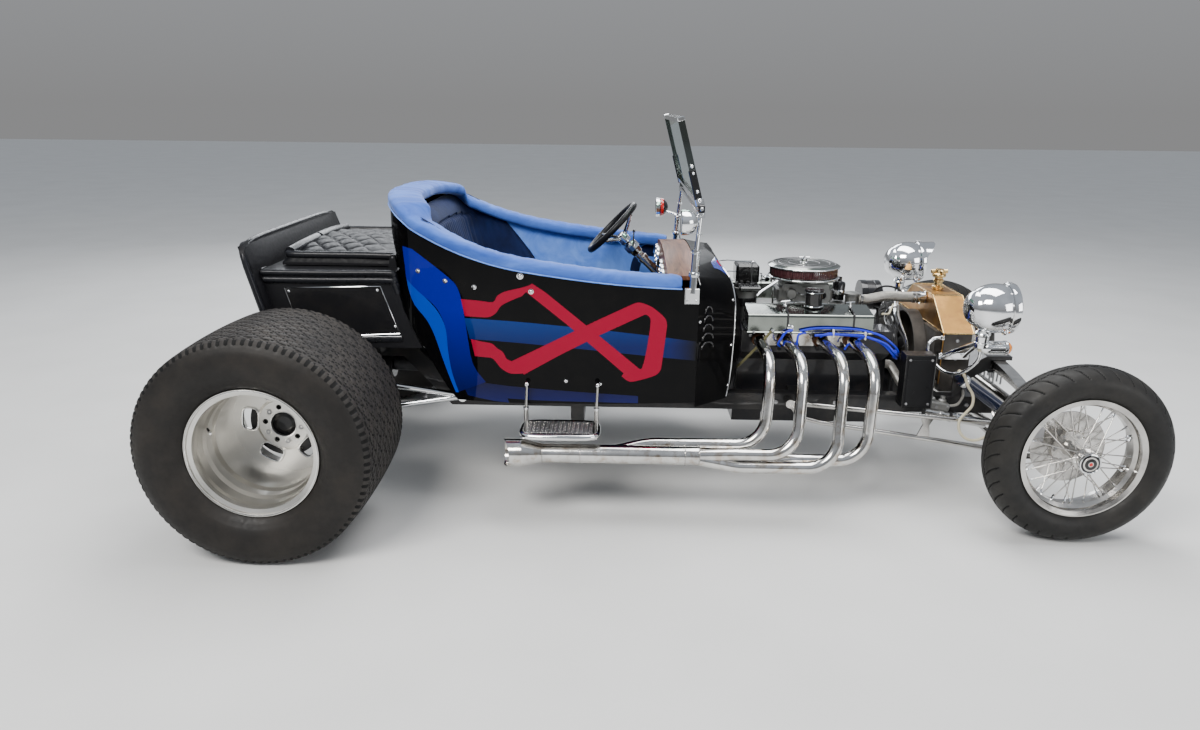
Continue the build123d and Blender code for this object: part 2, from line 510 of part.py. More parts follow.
# ---------------------------------------------------------------- cowl: loft of two sections, trimmed by the side profile
def cowl_section(x, half, low, shoulder, edge, crown, d):
    """Half width, low z, shoulder z, edge (y, z) where the arch starts, crown z; shrunk by d."""
    hw = half - d
    ey, ez = edge[0] - d * 0.7, edge[1] - d * 0.8
    my, mz = (hw + ey) / 2 + (hw - ey) * 0.22, (shoulder + ez) / 2 + (ez - shoulder) * 0.22
    return path_face((-hw, low), [(-hw, shoulder - d * 0.3), (-my, mz, -ey, ez), (0, crown - d, ey, ez),
                                  (my, mz, hw, shoulder - d * 0.3), (hw, low)], yz(x))


def cowl_solid(d, x0, x1, low):
    a = cowl_section(x0, 512, low, 760, (440, 836), 872, d)
    b = cowl_section(x1, 345, low, 640, (285, 790), 868, d)
    return loft([a, b], ruled=True)


def nose_cut(d):
    return side_slab((60, low_cut(d)), [(60, 1000), (140 - d, 1000), (140 - d, 878), (178 - d, 864), (243 - d, 770, 268 - d, 655),
                                        (270 - d, 560, 258 - d, 470), (222 - d, low_cut(d))], -600, 600)


def low_cut(d):
    return 375.0 if d == 0 else 360.0


node("cowl", (cowl_solid(0, 100.2, 285, 370) & nose_cut(0)) - cowl_solid(11, 95, 285, 350))
wall = (cowl_solid(11.3, 95, 285, 350) & nose_cut(0)) - nose_cut(12)
wall = wall - rod(on_column(250), on_column(720), 27)
foot = box(100.4, 222, -480, 480, BODY_LOW, BODY_LOW + 8) & cowl_solid(11.3, 95, 285, 350)
hood_t = (tunnel_out & box(100.4, 262, -200, 200, 0, 900)) - tunnel_in
node("firewall", ((wall + foot) - box(90, 320, -172, 172, 340, 547)) + hood_t)

# dash: wooden shelf that follows the arch, with an upright panel
arch_out = path_face((-440, 832.5), [(0, 868.5, 440, 832.5), (440, 818), (0, 854, -440, 818)], yz(-6))
shelf = extrude(arch_out, amount=105.5, dir=(1, 0, 0))
panel = slab((-440, 745), [(-440, 820), (0, 856, 440, 820), (440, 745)], yz(-6), (1, 0, 0), 14)
node("dash", shelf + panel)

# padded rim, side linings and seat
pad = plan_solid(PAD_OUT, 700, 1250) - plan_solid(-PAD_IN, 690, 1260) - box(42, 300, -700, 700, 690, 1260)
pad = pad - box(-80, 120, -456, 456, 690, 1260)
pad = (pad & above_rim(0.4)) - above_rim(PAD_RISE)
node("rim_pad", pad)
lining = (plan_solid(-SHELL - 0.4, BODY_LOW + 50, 1200) - plan_solid(-SHELL - 20, BODY_LOW + 40, 1210)) & box(-790, -15, -700, 700, BODY_LOW + 50, 1200)
lining = lining - above_rim(-0.6) - rear_cut(SHELL + 0.8)
node("side_linings", lining)
back = side_slab((-880, 470), [(-770, 470), (-772, 600), (-868, 955), (-952, 1010)], -600, 600) & plan_solid(-34, 400, 1100)
back = back - above_rim(-1) - rear_cut(SHELL + 1)
node("seat_back", back)
cushion = side_slab((-722, 407), [(-766, 500), (-768, 588), (-756, 600), (-352, 600), (-338, 586), (-338, 407)], -472, 472) & plan_solid(-34, 400, 1100)
node("seat_cushion", cushion - box(-345, -300, -180, 180, 400, 560))

# ---------------------------------------------------------------- trunk
trunk = side_slab((-1366, TRUNK_LOW), [(-1438, TRUNK_TOP), (-957, TRUNK_TOP), (-934, 700), (-875, TRUNK_LOW)], -TRUNK_HALF, TRUNK_HALF)
trunk = trunk & side_slab((-1500, 500), [(-1500, 900), (-957, 900), (-957, 850),
                                                                         (-932, 700, -862, TRUNK_LOW), (-862, 500)], -500, 500)
hollow = side_slab((-1348, TRUNK_LOW + 15), [(-1412, TRUNK_TOP - 14), (-978, TRUNK_TOP - 14), (-968, 700), (-930, TRUNK_LOW + 15)],
                   -TRUNK_HALF + TRUNK_WALL, TRUNK_HALF - TRUNK_WALL)
mouth = box(-1350, -1012, -322, 322, TRUNK_TOP - 30, TRUNK_TOP + 20)
brackets_t = []
for e in (-1, 1):
    ear = side_slab((-1000, TRUNK_TOP - 2), [(-994, 874), (-984, 884, -974, 874), (-968, TRUNK_TOP - 2)],
                    min(e * 368, e * 380), max(e * 368, e * 380))
    brackets_t.append(ear)
box_t = fuse([trunk - hollow - mouth] + brackets_t)
for e in (-1, 1):
    box_t = box_t - rod((LID_PIVOT_X, e * 366, LID_PIVOT_Z), (LID_PIVOT_X, e * 382, LID_PIVOT_Z), LID_PIN_R + RUN_GAP)
node("trunk_box", box_t)
lid = side_slab((-1384, TRUNK_TOP + 1), [(-1394, 860), (-1380, 884), (-1290, 903, -1180, 898), (-1040, 884), (-984, 880),
                                         (-978, 878, -976, 872), (-976, 858), (-990, TRUNK_TOP + 1)], -362, 362)
lid = lid & slab((-362, 830), [(-362, 872), (0, 906, 362, 872), (362, 830)], yz(-1400), (1, 0, 0), 430)
lid = lid + rod((LID_PIVOT_X, -379, LID_PIVOT_Z), (LID_PIVOT_X, 379, LID_PIVOT_Z), LID_PIN_R)
node("trunk_lid", lid)
# tail board, leaning back, with rounded top corners
tilt = math.degrees(math.atan2(86, 325))
board = extrude(Plane.YZ * RectangleRounded(1032, 350, 55), amount=9, both=True)
board = Pos(-1430, 0, 768) * Rot(0, -tilt, 0) * board
node("tail_board", board)

# ---------------------------------------------------------------- windshield
posts = []
for e in (-1, 1):
    foot_p = box(50, 99, 510, 529, 752, 806)
    up = fuse([foot_p, rod((76, 522, 788), (84, 507, 930), 13), rod((84, 507, 925), (96, 490, 1046), 7.5),
               rod((84, 507, 922), (84.5, 506, 934), 15), box(84, 110, 481, 500, 1040, 1062)])
    up = up - outer
    posts.append(up if e > 0 else left_of(up))
bar = rod((97, -488, 1050), (97, 488, 1050), 7)
ears = [box(86, 108, e * 489 - 8, e * 489 + 8, 1046, 1084) for e in (-1, 1)]
low = fuse(posts + [bar] + ears)
for e in (-1, 1):
    low = low - rod((KNUCKLE_X, e * 478, KNUCKLE_Z), (KNUCKLE_X, e * 500, KNUCKLE_Z), 5.0 + RUN_GAP)
node("windshield_posts", low)
top_p = Vector(18, 0, 1366)
dirw = Vector(top_p.X - KNUCKLE_X, 0, top_p.Z - KNUCKLE_Z)
wl = dirw.length
lean = math.degrees(math.atan2(-(dirw.X), dirw.Z))
frame_w = (Box(22, 950, 16).locate(Location((0, 0, wl - 8))) + Box(22, 930, 14).locate(Location((0, 0, 26)))
           + Box(22, 16, wl - 17).locate(Location((0, 467, 17 + (wl - 17) / 2)))
           + Box(22, 16, wl - 17).locate(Location((0, -467, 17 + (wl - 17) / 2))))
frame_w = Pos(KNUCKLE_X, 0, KNUCKLE_Z) * Rot(0, -lean, 0) * frame_w
pins = [rod((KNUCKLE_X, e * 455, KNUCKLE_Z), (KNUCKLE_X, e * 497, KNUCKLE_Z), 5.0) for e in (-1, 1)]
lugs = [rod((KNUCKLE_X, e * 460, KNUCKLE_Z), (KNUCKLE_X, e * 479, KNUCKLE_Z), 11) for e in (-1, 1)]
links = [Pos(KNUCKLE_X, 0, KNUCKLE_Z) * Rot(0, -lean, 0) * box(-6, 6, e * 467 - 7, e * 467 + 7, 0, 22) for e in (-1, 1)]
node("windshield_frame", fuse([frame_w] + pins + lugs + links))
pane = Pos(KNUCKLE_X, 0, KNUCKLE_Z) * Rot(0, -lean, 0) * box(-2.5, 2.5, -458.6, 458.6, 33.4, wl - 16.4)
node("windshield_glass", pane)

# side, head centre x, y, z, arm's end x, y, z on the post
MIRRORS = [(-1, 36, 552, 1032, 94, 503.9, 1051), (1, -4, 560, 960, 80.5, 524.7, 932)]
mirrors = []
for e, hx, hy, hz, px, py, pz in MIRRORS:
    head = Pos(hx, e * hy, hz) * Rot(0, -90, 0) * (Cylinder(40, 16) + Pos(0, 0, -18) * Cone(22, 40, 20))
    arm = rod((hx + 4, e * (hy - 4), hz - 6), (px, e * py, pz), 4.5)
    mirrors.append(fuse([head, arm]))
node("mirrors", *mirrors)

# ---------------------------------------------------------------- lamps
lamps, lenses, brackets = [], [], []
for e in (-1, 1):
    shell_l = revolve(path_face((0, 1021), [(34, 1024, 62, 1052), (80, 1085, 83, 1145), (83, 1156), (86, 1160), (86, 1176),
                                            (80, 1178), (80, 1168), (0, 1168)], lambda a, b: Vector(b, a, 0)),
                      axis=Axis.X, revolution_arc=360)
    visor = revolve(path_face((83.2, 1163), [(85.2, 1163), (87.8, 1227), (85.8, 1227)], lambda a, b: Vector(b, a, 0)), axis=Axis.X,
                    revolution_arc=360)
    visor = side_slab((1160, 8), [(1160, 120), (1236, 120), (1228, 86)], -120, 120) & visor
    stalk = rod((STAND_X, 0, -100), (STAND_X, 0, -66), 15)
    lamp = fuse([shell_l, visor, stalk]) if e > 0 else fuse([shell_l, stalk])
    lamps.append(Pos(0, e * LAMP_Y, LAMP_Z) * lamp)
    lens = rod((1168.3, 0, 0), (1200, 0, 0), 79.6) & (Pos(954.7, 0, 0) * Rot(0, 90, 0) * Sphere(233.3))
    lenses.append(Pos(0, e * LAMP_Y, LAMP_Z) * lens)
    base = (STAND_X, e * LAMP_Y, LAMP_Z - 100.3)
    arm = [rod((STAND_X, e * LAMP_Y, 602), base, 22), rod((STAND_X, e * LAMP_Y, 622), (1030, e * 300, 520), 9),
           rod((STAND_X, e * LAMP_Y, 622), (1110, e * 300, 520), 9), box(1018, 1128, e * 286 - 14, e * 286 + 14, 506, 530),
           rod((STAND_X, e * LAMP_Y, 618), (1134, e * LAMP_Y, 606), 8), rod((1116, e * LAMP_Y, 600), (1178, e * LAMP_Y, 600), 25)]
    brackets.append(fuse(arm))
node("headlights", *lamps)
node("headlight_lenses", *lenses)
node("headlight_brackets", *brackets)

# wiring sheaths of the headlights: flexible tubes clipped at both ends
SHEATH = [(1041.7, 267, 580), (1010, 267, 580), (985, 269, 560), (983, 274, 530), (998, 290, 497), (1026, 334, 468), (1056, 392, 474),
          (1078, 438, 508), (STAND_X, 480, 556), (STAND_X, 480, 601.7)]
sheaths = []
for e in (-1, 1):
    sheaths.append(cord_tube([(a, e * b, c) for a, b, c in SHEATH], 6, "lamp sheath"))
node("lamp_sheaths", *sheaths)

# ---------------------------------------------------------------- small fittings on the right rail, steps
pump = fuse([rod((962, -366, 322), (1022, -366, 311), 19), rod((1022, -366, 311), (1190, -366, 280), 17.5),
             rod((1016, -366, 312), (1030, -366, 309.5), 22), box(1018, 1034, -366, -330.4, 300, 330)])
node("fuel_pump", pump)
node("electrics_box", box(868, 975, -396, -330.4, 345, 545))
steps = []
for e in (-1, 1):
    tread = Pos(-370, e * 628, 323) * extrude(RectangleRounded(258, 144, 42), amount=11, both=True)
    hang = []
    for hx in (-493, -247):
        hang += [rod((hx, e * 577, 322), (hx, e * 577, 386), 8), rod((hx, e * 577, 380), (hx + 3, e * 566, 470), 4.5),
                 rod((hx + 3, e * 574, 470), (hx + 3, e * 552.4, 470), 7), box(min(hx, -370), max(hx, -370), e * 577 - 7, e * 577 + 7, 316, 330)]
    steps.append(fuse([tread] + hang) - outer)
node("side_steps", *steps)

# ---------------------------------------------------------------- write the files
for name, shape in nodes.items():
    export_step(shape, "parts/" + name + ".step")
print(len(nodes), "nodes")
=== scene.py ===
import bpy
import math
import numpy as np
from mathutils import Matrix, Vector, bvhtree


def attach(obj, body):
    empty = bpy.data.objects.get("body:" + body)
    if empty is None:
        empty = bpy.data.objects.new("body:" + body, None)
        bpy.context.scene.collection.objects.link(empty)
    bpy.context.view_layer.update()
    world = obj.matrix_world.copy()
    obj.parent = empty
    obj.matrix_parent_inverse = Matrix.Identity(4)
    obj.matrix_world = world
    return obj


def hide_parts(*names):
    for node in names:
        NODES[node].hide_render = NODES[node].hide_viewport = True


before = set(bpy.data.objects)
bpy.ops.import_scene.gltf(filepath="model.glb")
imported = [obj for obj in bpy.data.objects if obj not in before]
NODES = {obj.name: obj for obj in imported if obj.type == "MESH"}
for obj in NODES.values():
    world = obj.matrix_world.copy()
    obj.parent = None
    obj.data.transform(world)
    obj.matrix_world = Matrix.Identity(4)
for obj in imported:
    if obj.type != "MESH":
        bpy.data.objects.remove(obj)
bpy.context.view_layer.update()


# ------------------------------------------------------------------ materials
class Mat:
    """Small builder around one procedural node material."""

    def __init__(self, name):
        self.m = bpy.data.materials.new(name)
        self.m.use_nodes = True
        self.t = self.m.node_tree
        self.b = self.t.nodes["Principled BSDF"]

    def n(self, kind, **props):
        node = self.t.nodes.new("ShaderNode" + kind)
        for k, v in props.items():
            setattr(node, k, v)
        return node

    def link(self, a, b):
        self.t.links.new(a, b)

    def coords(self, scale=(1, 1, 1)):
        tc = self.n("TexCoord")
        mp = self.n("Mapping")
        mp.inputs["Scale"].default_value = scale
        self.link(tc.outputs["Object"], mp.inputs["Vector"])
        return mp.outputs["Vector"]

    def noise(self, scale, detail=4.0, rough=0.55, vec=None, distortion=0.0):
        nz = self.n("TexNoise")
        nz.inputs["Scale"].default_value = scale
        nz.inputs["Detail"].default_value = detail
        nz.inputs["Roughness"].default_value = rough
        nz.inputs["Distortion"].default_value = distortion
        self.link(vec if vec is not None else self.coords(), nz.inputs["Vector"])
        return nz.outputs["Fac"]

    def voronoi(self, scale, feature="F1", vec=None):
        vz = self.n("TexVoronoi", feature=feature)
        vz.inputs["Scale"].default_value = scale
        self.link(vec if vec is not None else self.coords(), vz.inputs["Vector"])
        return vz.outputs["Distance"]

    def wave(self, scale, direction="X", vec=None, distortion=0.0, profile="SIN"):
        w = self.n("TexWave", wave_type="BANDS", bands_direction=direction, wave_profile=profile)
        w.inputs["Scale"].default_value = scale
        w.inputs["Distortion"].default_value = distortion
        self.link(vec if vec is not None else self.coords(), w.inputs["Vector"])
        return w.outputs["Fac"]

    def math(self, op, a, b=None):
        m = self.n("Math", operation=op)
        for k, v in enumerate((a, b)):
            if v is None:
                continue
            if isinstance(v, bpy.types.NodeSocket):
                self.link(v, m.inputs[k])
            else:
                m.inputs[k].default_value = v
        return m.outputs[0]

    def mix(self, fac, a, b):
        x = self.n("Mix", data_type="RGBA")
        for key, v in (("Factor", fac), ("A", a), ("B", b)):
            if isinstance(v, bpy.types.NodeSocket):
                self.link(v, x.inputs[key])
            elif key == "Factor":
                x.inputs[key].default_value = v
            else:
                x.inputs[key].default_value = tuple(v) + (1,)
        return x.outputs["Result"]

    def axis(self, name):
        tc = self.n("TexCoord")
        sep = self.n("SeparateXYZ")
        self.link(tc.outputs["Object"], sep.inputs["Vector"])
        return sep.outputs[name]

    def ramp(self, fac, stops):
        r = self.n("ValToRGB")
        els = r.color_ramp.elements
        while len(els) > 1:
            els.remove(els[-1])
        els[0].position = stops[0][0]
        els[0].color = tuple(stops[0][1]) + (1,) if len(stops[0][1]) == 3 else stops[0][1]
        for p, c in stops[1:]:
            e = els.new(p)
            e.color = tuple(c) + (1,) if len(c) == 3 else c
        self.link(fac, r.inputs["Fac"])
        return r.outputs["Color"]

    def bump(self, height, strength=0.3, dist=0.001, chain=None):
        bp = self.n("Bump")
        bp.inputs["Strength"].default_value = strength
        bp.inputs["Distance"].default_value = dist
        self.link(height, bp.inputs["Height"])
        if chain is not None:
            self.link(chain, bp.inputs["Normal"])
        return bp.outputs["Normal"]

    def set(self, **kw):
        for k, v in kw.items():
            key = {"color": "Base Color", "metal": "Metallic", "rough": "Roughness", "coat": "Coat Weight",
                   "coat_rough": "Coat Roughness", "sheen": "Sheen Weight", "spec": "Specular IOR Level",
                   "trans": "Transmission Weight", "ior": "IOR", "alpha": "Alpha", "sheen_rough": "Sheen Roughness",
                   "aniso": "Anisotropic", "normal": "Normal", "sheen_tint": "Sheen Tint",
                   "emit": "Emission Color", "emit_s": "Emission Strength"}[k]
            sock = self.b.inputs[key]
            if isinstance(v, bpy.types.NodeSocket):
                self.link(v, sock)
            elif isinstance(v, tuple) and len(v) == 3:
                sock.default_value = v + (1,)
            else:
                sock.default_value = v
        return self


def metal(name, color, rough=0.12, vary=0.06, scale=60, dirt=0.25, bump=0.04, stain=None):
    """Polished or plated metal with light smears, pitting and, where asked, a stain in patches."""
    m = Mat(name)
    r = m.ramp(m.noise(scale, 5), [(0.35, (rough,) * 3), (0.75, (rough + vary,) * 3)])
    dark = tuple(c * (1 - dirt) for c in color)
    col = m.ramp(m.noise(9, 3), [(0.38, dark), (0.62, color)])
    if stain is not None:
        col = m.mix(m.ramp(m.noise(26, 6, 0.65), [(0.5, (0, 0, 0)), (0.72, (0.85,) * 3)]), col, stain)
    m.set(color=col, metal=1.0, rough=r, normal=m.bump(m.noise(scale * 6, 2), bump, 0.0006))
    return m.m


def paint(name, color, rough=0.12, coat=1.0, dirt=(0.2, 0.17, 0.13), dirt_amt=0.03, spec=0.25, peel=0.04):
    """Clear-coated paint: dust in patches, faint orange peel."""
    m = Mat(name)
    fac = m.ramp(m.noise(14, 6, 0.62), [(0.45, (0, 0, 0)), (0.85, (dirt_amt,) * 3)])
    base = color if isinstance(color, bpy.types.NodeSocket) else tuple(color)
    rr = m.ramp(m.noise(40, 5), [(0.3, (rough,) * 3), (0.8, (rough + 0.1,) * 3)])
    m.set(color=m.mix(fac, base, dirt), rough=rr, coat=coat, coat_rough=0.04, spec=spec,
          normal=m.bump(m.noise(180, 2), peel, 0.0004))
    return m.m


def rubber(name, color, rough=0.6, spread=0.35, dust=None, dust_amt=0.4, grain=0.15, spec=0.22):
    m = Mat(name)
    col = m.ramp(m.noise(22, 6, 0.6), [(0.3, tuple(c * (1 - spread) for c in color)), (0.7, color)])
    if dust is not None:
        col = m.mix(m.ramp(m.noise(7, 8, 0.7), [(0.42, (0, 0, 0)), (0.7, (dust_amt,) * 3)]), col, dust)
    m.set(color=col, rough=m.ramp(m.noise(70, 4), [(0.3, (rough - 0.08,) * 3), (0.8, (rough + 0.15,) * 3)]),
          spec=spec, normal=m.bump(m.noise(400, 3), grain, 0.0006))
    return m.m


def cloth(name, color, dark, sheen=0.7, weave=900.0, stretch=(1, 1, 1), rough=0.85):
    """Brushed pile: long soft streaks, fine grain and sheen."""
    m = Mat(name)
    v = m.coords(stretch)
    col = m.ramp(m.noise(11, 5, 0.6, v, 0.6), [(0.34, dark), (0.66, color)])
    fine = m.noise(weave, 2)
    m.set(color=col, rough=rough, sheen=sheen, sheen_rough=0.45, sheen_tint=(0.75, 0.85, 1.0), spec=0.2,
          normal=m.bump(m.noise(60, 4, 0.6, v), 0.25, 0.002, m.bump(fine, 0.3, 0.0006)))
    return m.m


CHROME = metal("chrome", (0.88, 0.89, 0.9), 0.05, 0.05)
# dark, faintly green chrome for the windshield frame: painted shade of the frame's shadowed face and painted reflection
# of grass
FRAME_CHROME_PAINTED_SHADE = metal("frame_chrome_painted_shade", (0.17, 0.19, 0.18), 0.08, 0.06, 40, 0.3)
MIRROR = metal("mirror_glass", (0.86, 0.88, 0.89), 0.015, 0.01, 30, 0.05, 0.0)
CHROME_WORN = metal("chrome_worn", (0.66, 0.64, 0.61), 0.14, 0.14, 35, 0.35)
HEADER = metal("header_chrome", (0.74, 0.73, 0.71), 0.1, 0.1, 30, 0.25, 0.05, (0.36, 0.27, 0.17))
POLISHED = metal("polished_alloy", (0.8, 0.8, 0.79), 0.16, 0.08, 24, 0.14, 0.02)
RIM_METAL = metal("rim_alloy", (0.68, 0.665, 0.63), 0.3, 0.06, 16, 0.1, 0.02)
# chrome with its colour dropped to dark grey, for the valve covers and the air cleaner: painted dark reflection of the
# surroundings
CHROME_DARK_REFLECTION = metal("cover_chrome_dark_painted_reflection", (0.25, 0.27, 0.245), 0.1, 0.06, 40, 0.25)
SATIN = metal("satin_steel", (0.42, 0.42, 0.43), 0.36, 0.15, 40, 0.35)
CAST_ALLOY = metal("cast_alloy", (0.34, 0.34, 0.33), 0.42, 0.15, 90, 0.4, 0.35)
CAST = metal("cast_grey", (0.13, 0.13, 0.135), 0.55, 0.2, 50, 0.4, 0.2)
RUST = metal("rust_port", (0.23, 0.12, 0.07), 0.6, 0.2, 70, 0.5, 0.4)
BRASS = metal("brass_patina", (0.52, 0.28, 0.085), 0.33, 0.2, 18, 0.4, 0.1, (0.25, 0.12, 0.05))
BRASS_BRIGHT = metal("brass_edge", (0.86, 0.62, 0.28), 0.2, 0.15, 30, 0.3)
BODY_BLACK = paint("body_black", (0.0015, 0.0015, 0.0018), 0.06, 0.2, dirt_amt=0.012, spec=0.0)
ENGINE_BLACK = paint("engine_black", (0.008, 0.008, 0.01), 0.3, 0.3, dirt_amt=0.12)
FRAME_PAINT = paint("frame_paint", (0.01, 0.01, 0.011), 0.35, 0.3, dirt_amt=0.12)
DAMPER_BLUE = paint("damper_blue_black", (0.006, 0.01, 0.03), 0.1, 1.0, dirt_amt=0.02)
RUBBER = rubber("black_rubber", (0.02, 0.02, 0.021))
PLASTIC = rubber("black_plastic", (0.007, 0.007, 0.008), 0.35)
COWL_BLACK = paint("cowl_black", (0.0015, 0.0015, 0.0018), 0.42, 0.05, dirt_amt=0.012, spec=0.03)
GLOSS_PLASTIC = paint("black_gloss_plastic", (0.008, 0.008, 0.009), 0.15, 0.6)
BLUE_WIRE = rubber("blue_silicone", (0.02, 0.03, 0.55), 0.35, 0.15)
WHITE_CLIP = rubber("white_nylon", (0.7, 0.7, 0.66), 0.4, 0.1)
CREAM_HOSE = rubber("cream_hose", (0.55, 0.5, 0.36), 0.5, 0.2)
RED_LENS = Mat("red_lens").set(color=(0.5, 0.01, 0.01), rough=0.1, coat=0.6).m
AMBER = Mat("amber_lens").set(color=(0.8, 0.25, 0.02), rough=0.15, coat=0.5).m
OLIVE = rubber("olive_tube", (0.12, 0.11, 0.05), 0.45)
VINYL = rubber("black_vinyl", (0.009, 0.009, 0.0105), 0.38, 0.25, grain=0.3)
VINYL_SHINE = rubber("black_vinyl_roll", (0.01, 0.0105, 0.013), 0.3, 0.2, grain=0.2)
# darker copy of the black vinyl for the upward-facing trunk lid: painted shade against the light its top catches
LID_VINYL_PAINTED_SHADE = rubber("lid_vinyl_painted_shade", (0.0045, 0.0047, 0.006), 0.4, 0.2, grain=0.1, spec=0.07)
WHITE_DIAL = rubber("dial_face", (0.65, 0.64, 0.58), 0.5, 0.1)
TYRE = rubber("tyre_rubber", (0.024, 0.022, 0.021), 0.7, 0.25, (0.06, 0.053, 0.046), 0.5)
TYRE_SIDE = rubber("tyre_sidewall", (0.012, 0.0108, 0.01), 0.5, 0.2, (0.032, 0.027, 0.022), 0.5)
# near-black copy of the tyre rubber for the sunk tread faces: painted shade in the grooves
GROOVE_PAINTED_SHADE = rubber("tread_groove_painted_shade", (0.004, 0.004, 0.004), 0.8, 0.2)
TYRE_F = rubber("front_tyre_rubber", (0.014, 0.0137, 0.0133), 0.5, 0.2, (0.042, 0.038, 0.032), 0.4)
VELOUR = cloth("blue_velour", (0.075, 0.178, 0.58), (0.028, 0.082, 0.36), 0.25, stretch=(0.5, 1, 1))
# lighter copy of the rim pad's velour for the side linings and the pad's piping: painted light against the shade inside
# the body
VELOUR_SIDE_PAINTED_LIGHT = cloth("blue_velour_side_painted_light", (0.17, 0.36, 0.92), (0.08, 0.21, 0.72), 0.4)
NAVY = cloth("navy_cloth", (0.005, 0.014, 0.066), (0.003, 0.007, 0.035), 0.1)
m = Mat("dash_wood")
m.set(color=m.ramp(m.noise(3, 6, 0.6, m.coords((14, 1.2, 14)), 1.5), [(0.3, (0.05, 0.014, 0.006)), (0.7, (0.2, 0.085, 0.045))]),
      rough=0.5, coat=0.08, coat_rough=0.2, spec=0.1)
WOOD = m.m
GLASS = Mat("tinted_glass").set(color=(0.42, 0.72, 0.55), rough=0.02, trans=1.0, ior=1.45).m
LENS = Mat("lamp_lens").set(color=(0.93, 0.95, 0.96), rough=0.05, trans=1.0, ior=1.45).m
# dark red filter mesh behind a fine chrome screen
m = Mat("filter_mesh")
cell = m.math("MULTIPLY", m.wave(95, "Z", profile="SIN"), m.wave(70, "X", profile="SIN"))
m.set(color=m.ramp(cell, [(0.3, (0.03, 0.003, 0.006)), (0.62, (0.13, 0.008, 0.018)), (0.9, (0.22, 0.1, 0.1))]),
      metal=0.3, rough=0.5, normal=m.bump(cell, 0.5, 0.002))
FILTER = m.m
# braided sleeve of the hoses
m = Mat("braided_sleeve")
br = m.math("ADD", m.wave(110, "DIAGONAL", distortion=2.0), m.noise(90, 5))
m.set(color=m.ramp(br, [(0.5, (0.16, 0.15, 0.13)), (1.1, (0.55, 0.53, 0.49))]), metal=0.8, rough=0.4, normal=m.bump(br, 0.6, 0.003))
BRAID = m.m
# radiator core fins
m = Mat("radiator_core")
fin = m.wave(160, "Z")
m.set(color=m.ramp(m.noise(12, 5), [(0.35, (0.03, 0.027, 0.025)), (0.7, (0.09, 0.08, 0.07))]), metal=0.6, rough=0.6,
      normal=m.bump(fin, 0.6, 0.002))
CORE = m.m
# paints of the graphics
CRIMSON = paint("crimson_stripe", (0.27, 0.004, 0.026), 0.25, 0.15, dirt_amt=0.01, spec=0.0)
ROYAL = Mat("royal_blue_swath")
ROYAL.set(color=ROYAL.ramp(ROYAL.axis("Z"), [(0.42, (0.003, 0.004, 0.05)), (0.72, (0.005, 0.007, 0.22))]), rough=0.15, coat=0.25, coat_rough=0.04, spec=0.0)
ROYAL = ROYAL.m
AZURE = paint("azure_edge", (0.004, 0.038, 0.36), 0.15, 0.25, dirt_amt=0.01, spec=0.0)
BAND = Mat("blue_band")
fade = BAND.ramp(BAND.axis("X"), [(0.0, (0, 0, 0)), (0.1, (1, 1, 1))])
mid = BAND.ramp(BAND.axis("Z"), [(0.60, (0.002, 0.007, 0.07)), (0.7, (0.003, 0.026, 0.15))])
BAND.set(color=BAND.mix(fade, mid, (0.0025, 0.0025, 0.003)), rough=0.15, coat=0.34, coat_rough=0.04, spec=0.0)
BAND = BAND.m
NAVY_PAINT = Mat("navy_lower_paint")
lo = NAVY_PAINT.ramp(NAVY_PAINT.axis("Z"), [(0.39, (0.003, 0.005, 0.07)), (0.5, (0.0025, 0.0025, 0.004))])
NAVY_PAINT.set(color=lo, rough=0.15, coat=0.34, coat_rough=0.04, spec=0.0)
NAVY_PAINT = NAVY_PAINT.m
COWL_BLUE = paint("cowl_blue", (0.01, 0.03, 0.24), 0.15, 0.8)


def give(name, material):
    o = NODES[name]
    o.data.materials.clear()
    o.data.materials.append(material)
    return o


TABLE = [("frame", FRAME_PAINT), ("front_axle", CHROME_WORN), ("front_spring", CHROME_WORN), ("front_radius_rods", CHROME_WORN),
         ("front_dampers", DAMPER_BLUE), ("brake_hoses", CREAM_HOSE), ("firewall", BODY_BLACK),
         ("rear_axle", FRAME_PAINT), ("rear_springs", CHROME_WORN), ("rear_radius_rods", CHROME), ("engine_block", ENGINE_BLACK),
         ("valve_covers", CHROME_DARK_REFLECTION), ("intake_carburettor", CAST_ALLOY), ("air_cleaner", CHROME_DARK_REFLECTION), ("fan_and_pulleys", ENGINE_BLACK),
         ("gearbox", CAST), ("exhausts", HEADER), ("radiator", CORE), ("radiator_tank", BRASS), ("radiator_hoses", BRAID),
         ("body_tub", BODY_BLACK), ("cowl", COWL_BLACK), ("dash", WOOD), ("tail_board", VINYL), ("trunk_box", VINYL),
         ("trunk_lid", VINYL), ("rim_pad", VELOUR), ("side_linings", VELOUR_SIDE_PAINTED_LIGHT), ("seat_back", NAVY), ("seat_cushion", NAVY),
         ("windshield_posts", CHROME), ("mirrors", CHROME), ("headlights", CHROME), ("headlight_brackets", CHROME),
         ("headlight_lenses", LENS), ("windshield_glass", GLASS),
         ("lamp_sheaths", CHROME), ("fuel_pump", POLISHED), ("electrics_box", PLASTIC), ("side_steps", CHROME_WORN),
         ("steering_column", CHROME_WORN), ("tie_rod", CHROME_WORN), ("drag_link", CHROME_WORN), ("pitman_arm", SATIN),
         ("steering_wheel", GLOSS_PLASTIC), ("windshield_frame", FRAME_CHROME_PAINTED_SHADE)]
for s in ("right", "left"):
    TABLE += [("rear_wheel_" + s, RIM_METAL), ("rear_drum_" + s, ENGINE_BLACK), ("rear_tyre_" + s, TYRE),
              ("front_wheel_" + s, CHROME_WORN), ("front_tyre_" + s, TYRE_F), ("knuckle_" + s, SATIN)]
for name, material in TABLE:
    give(name, material)

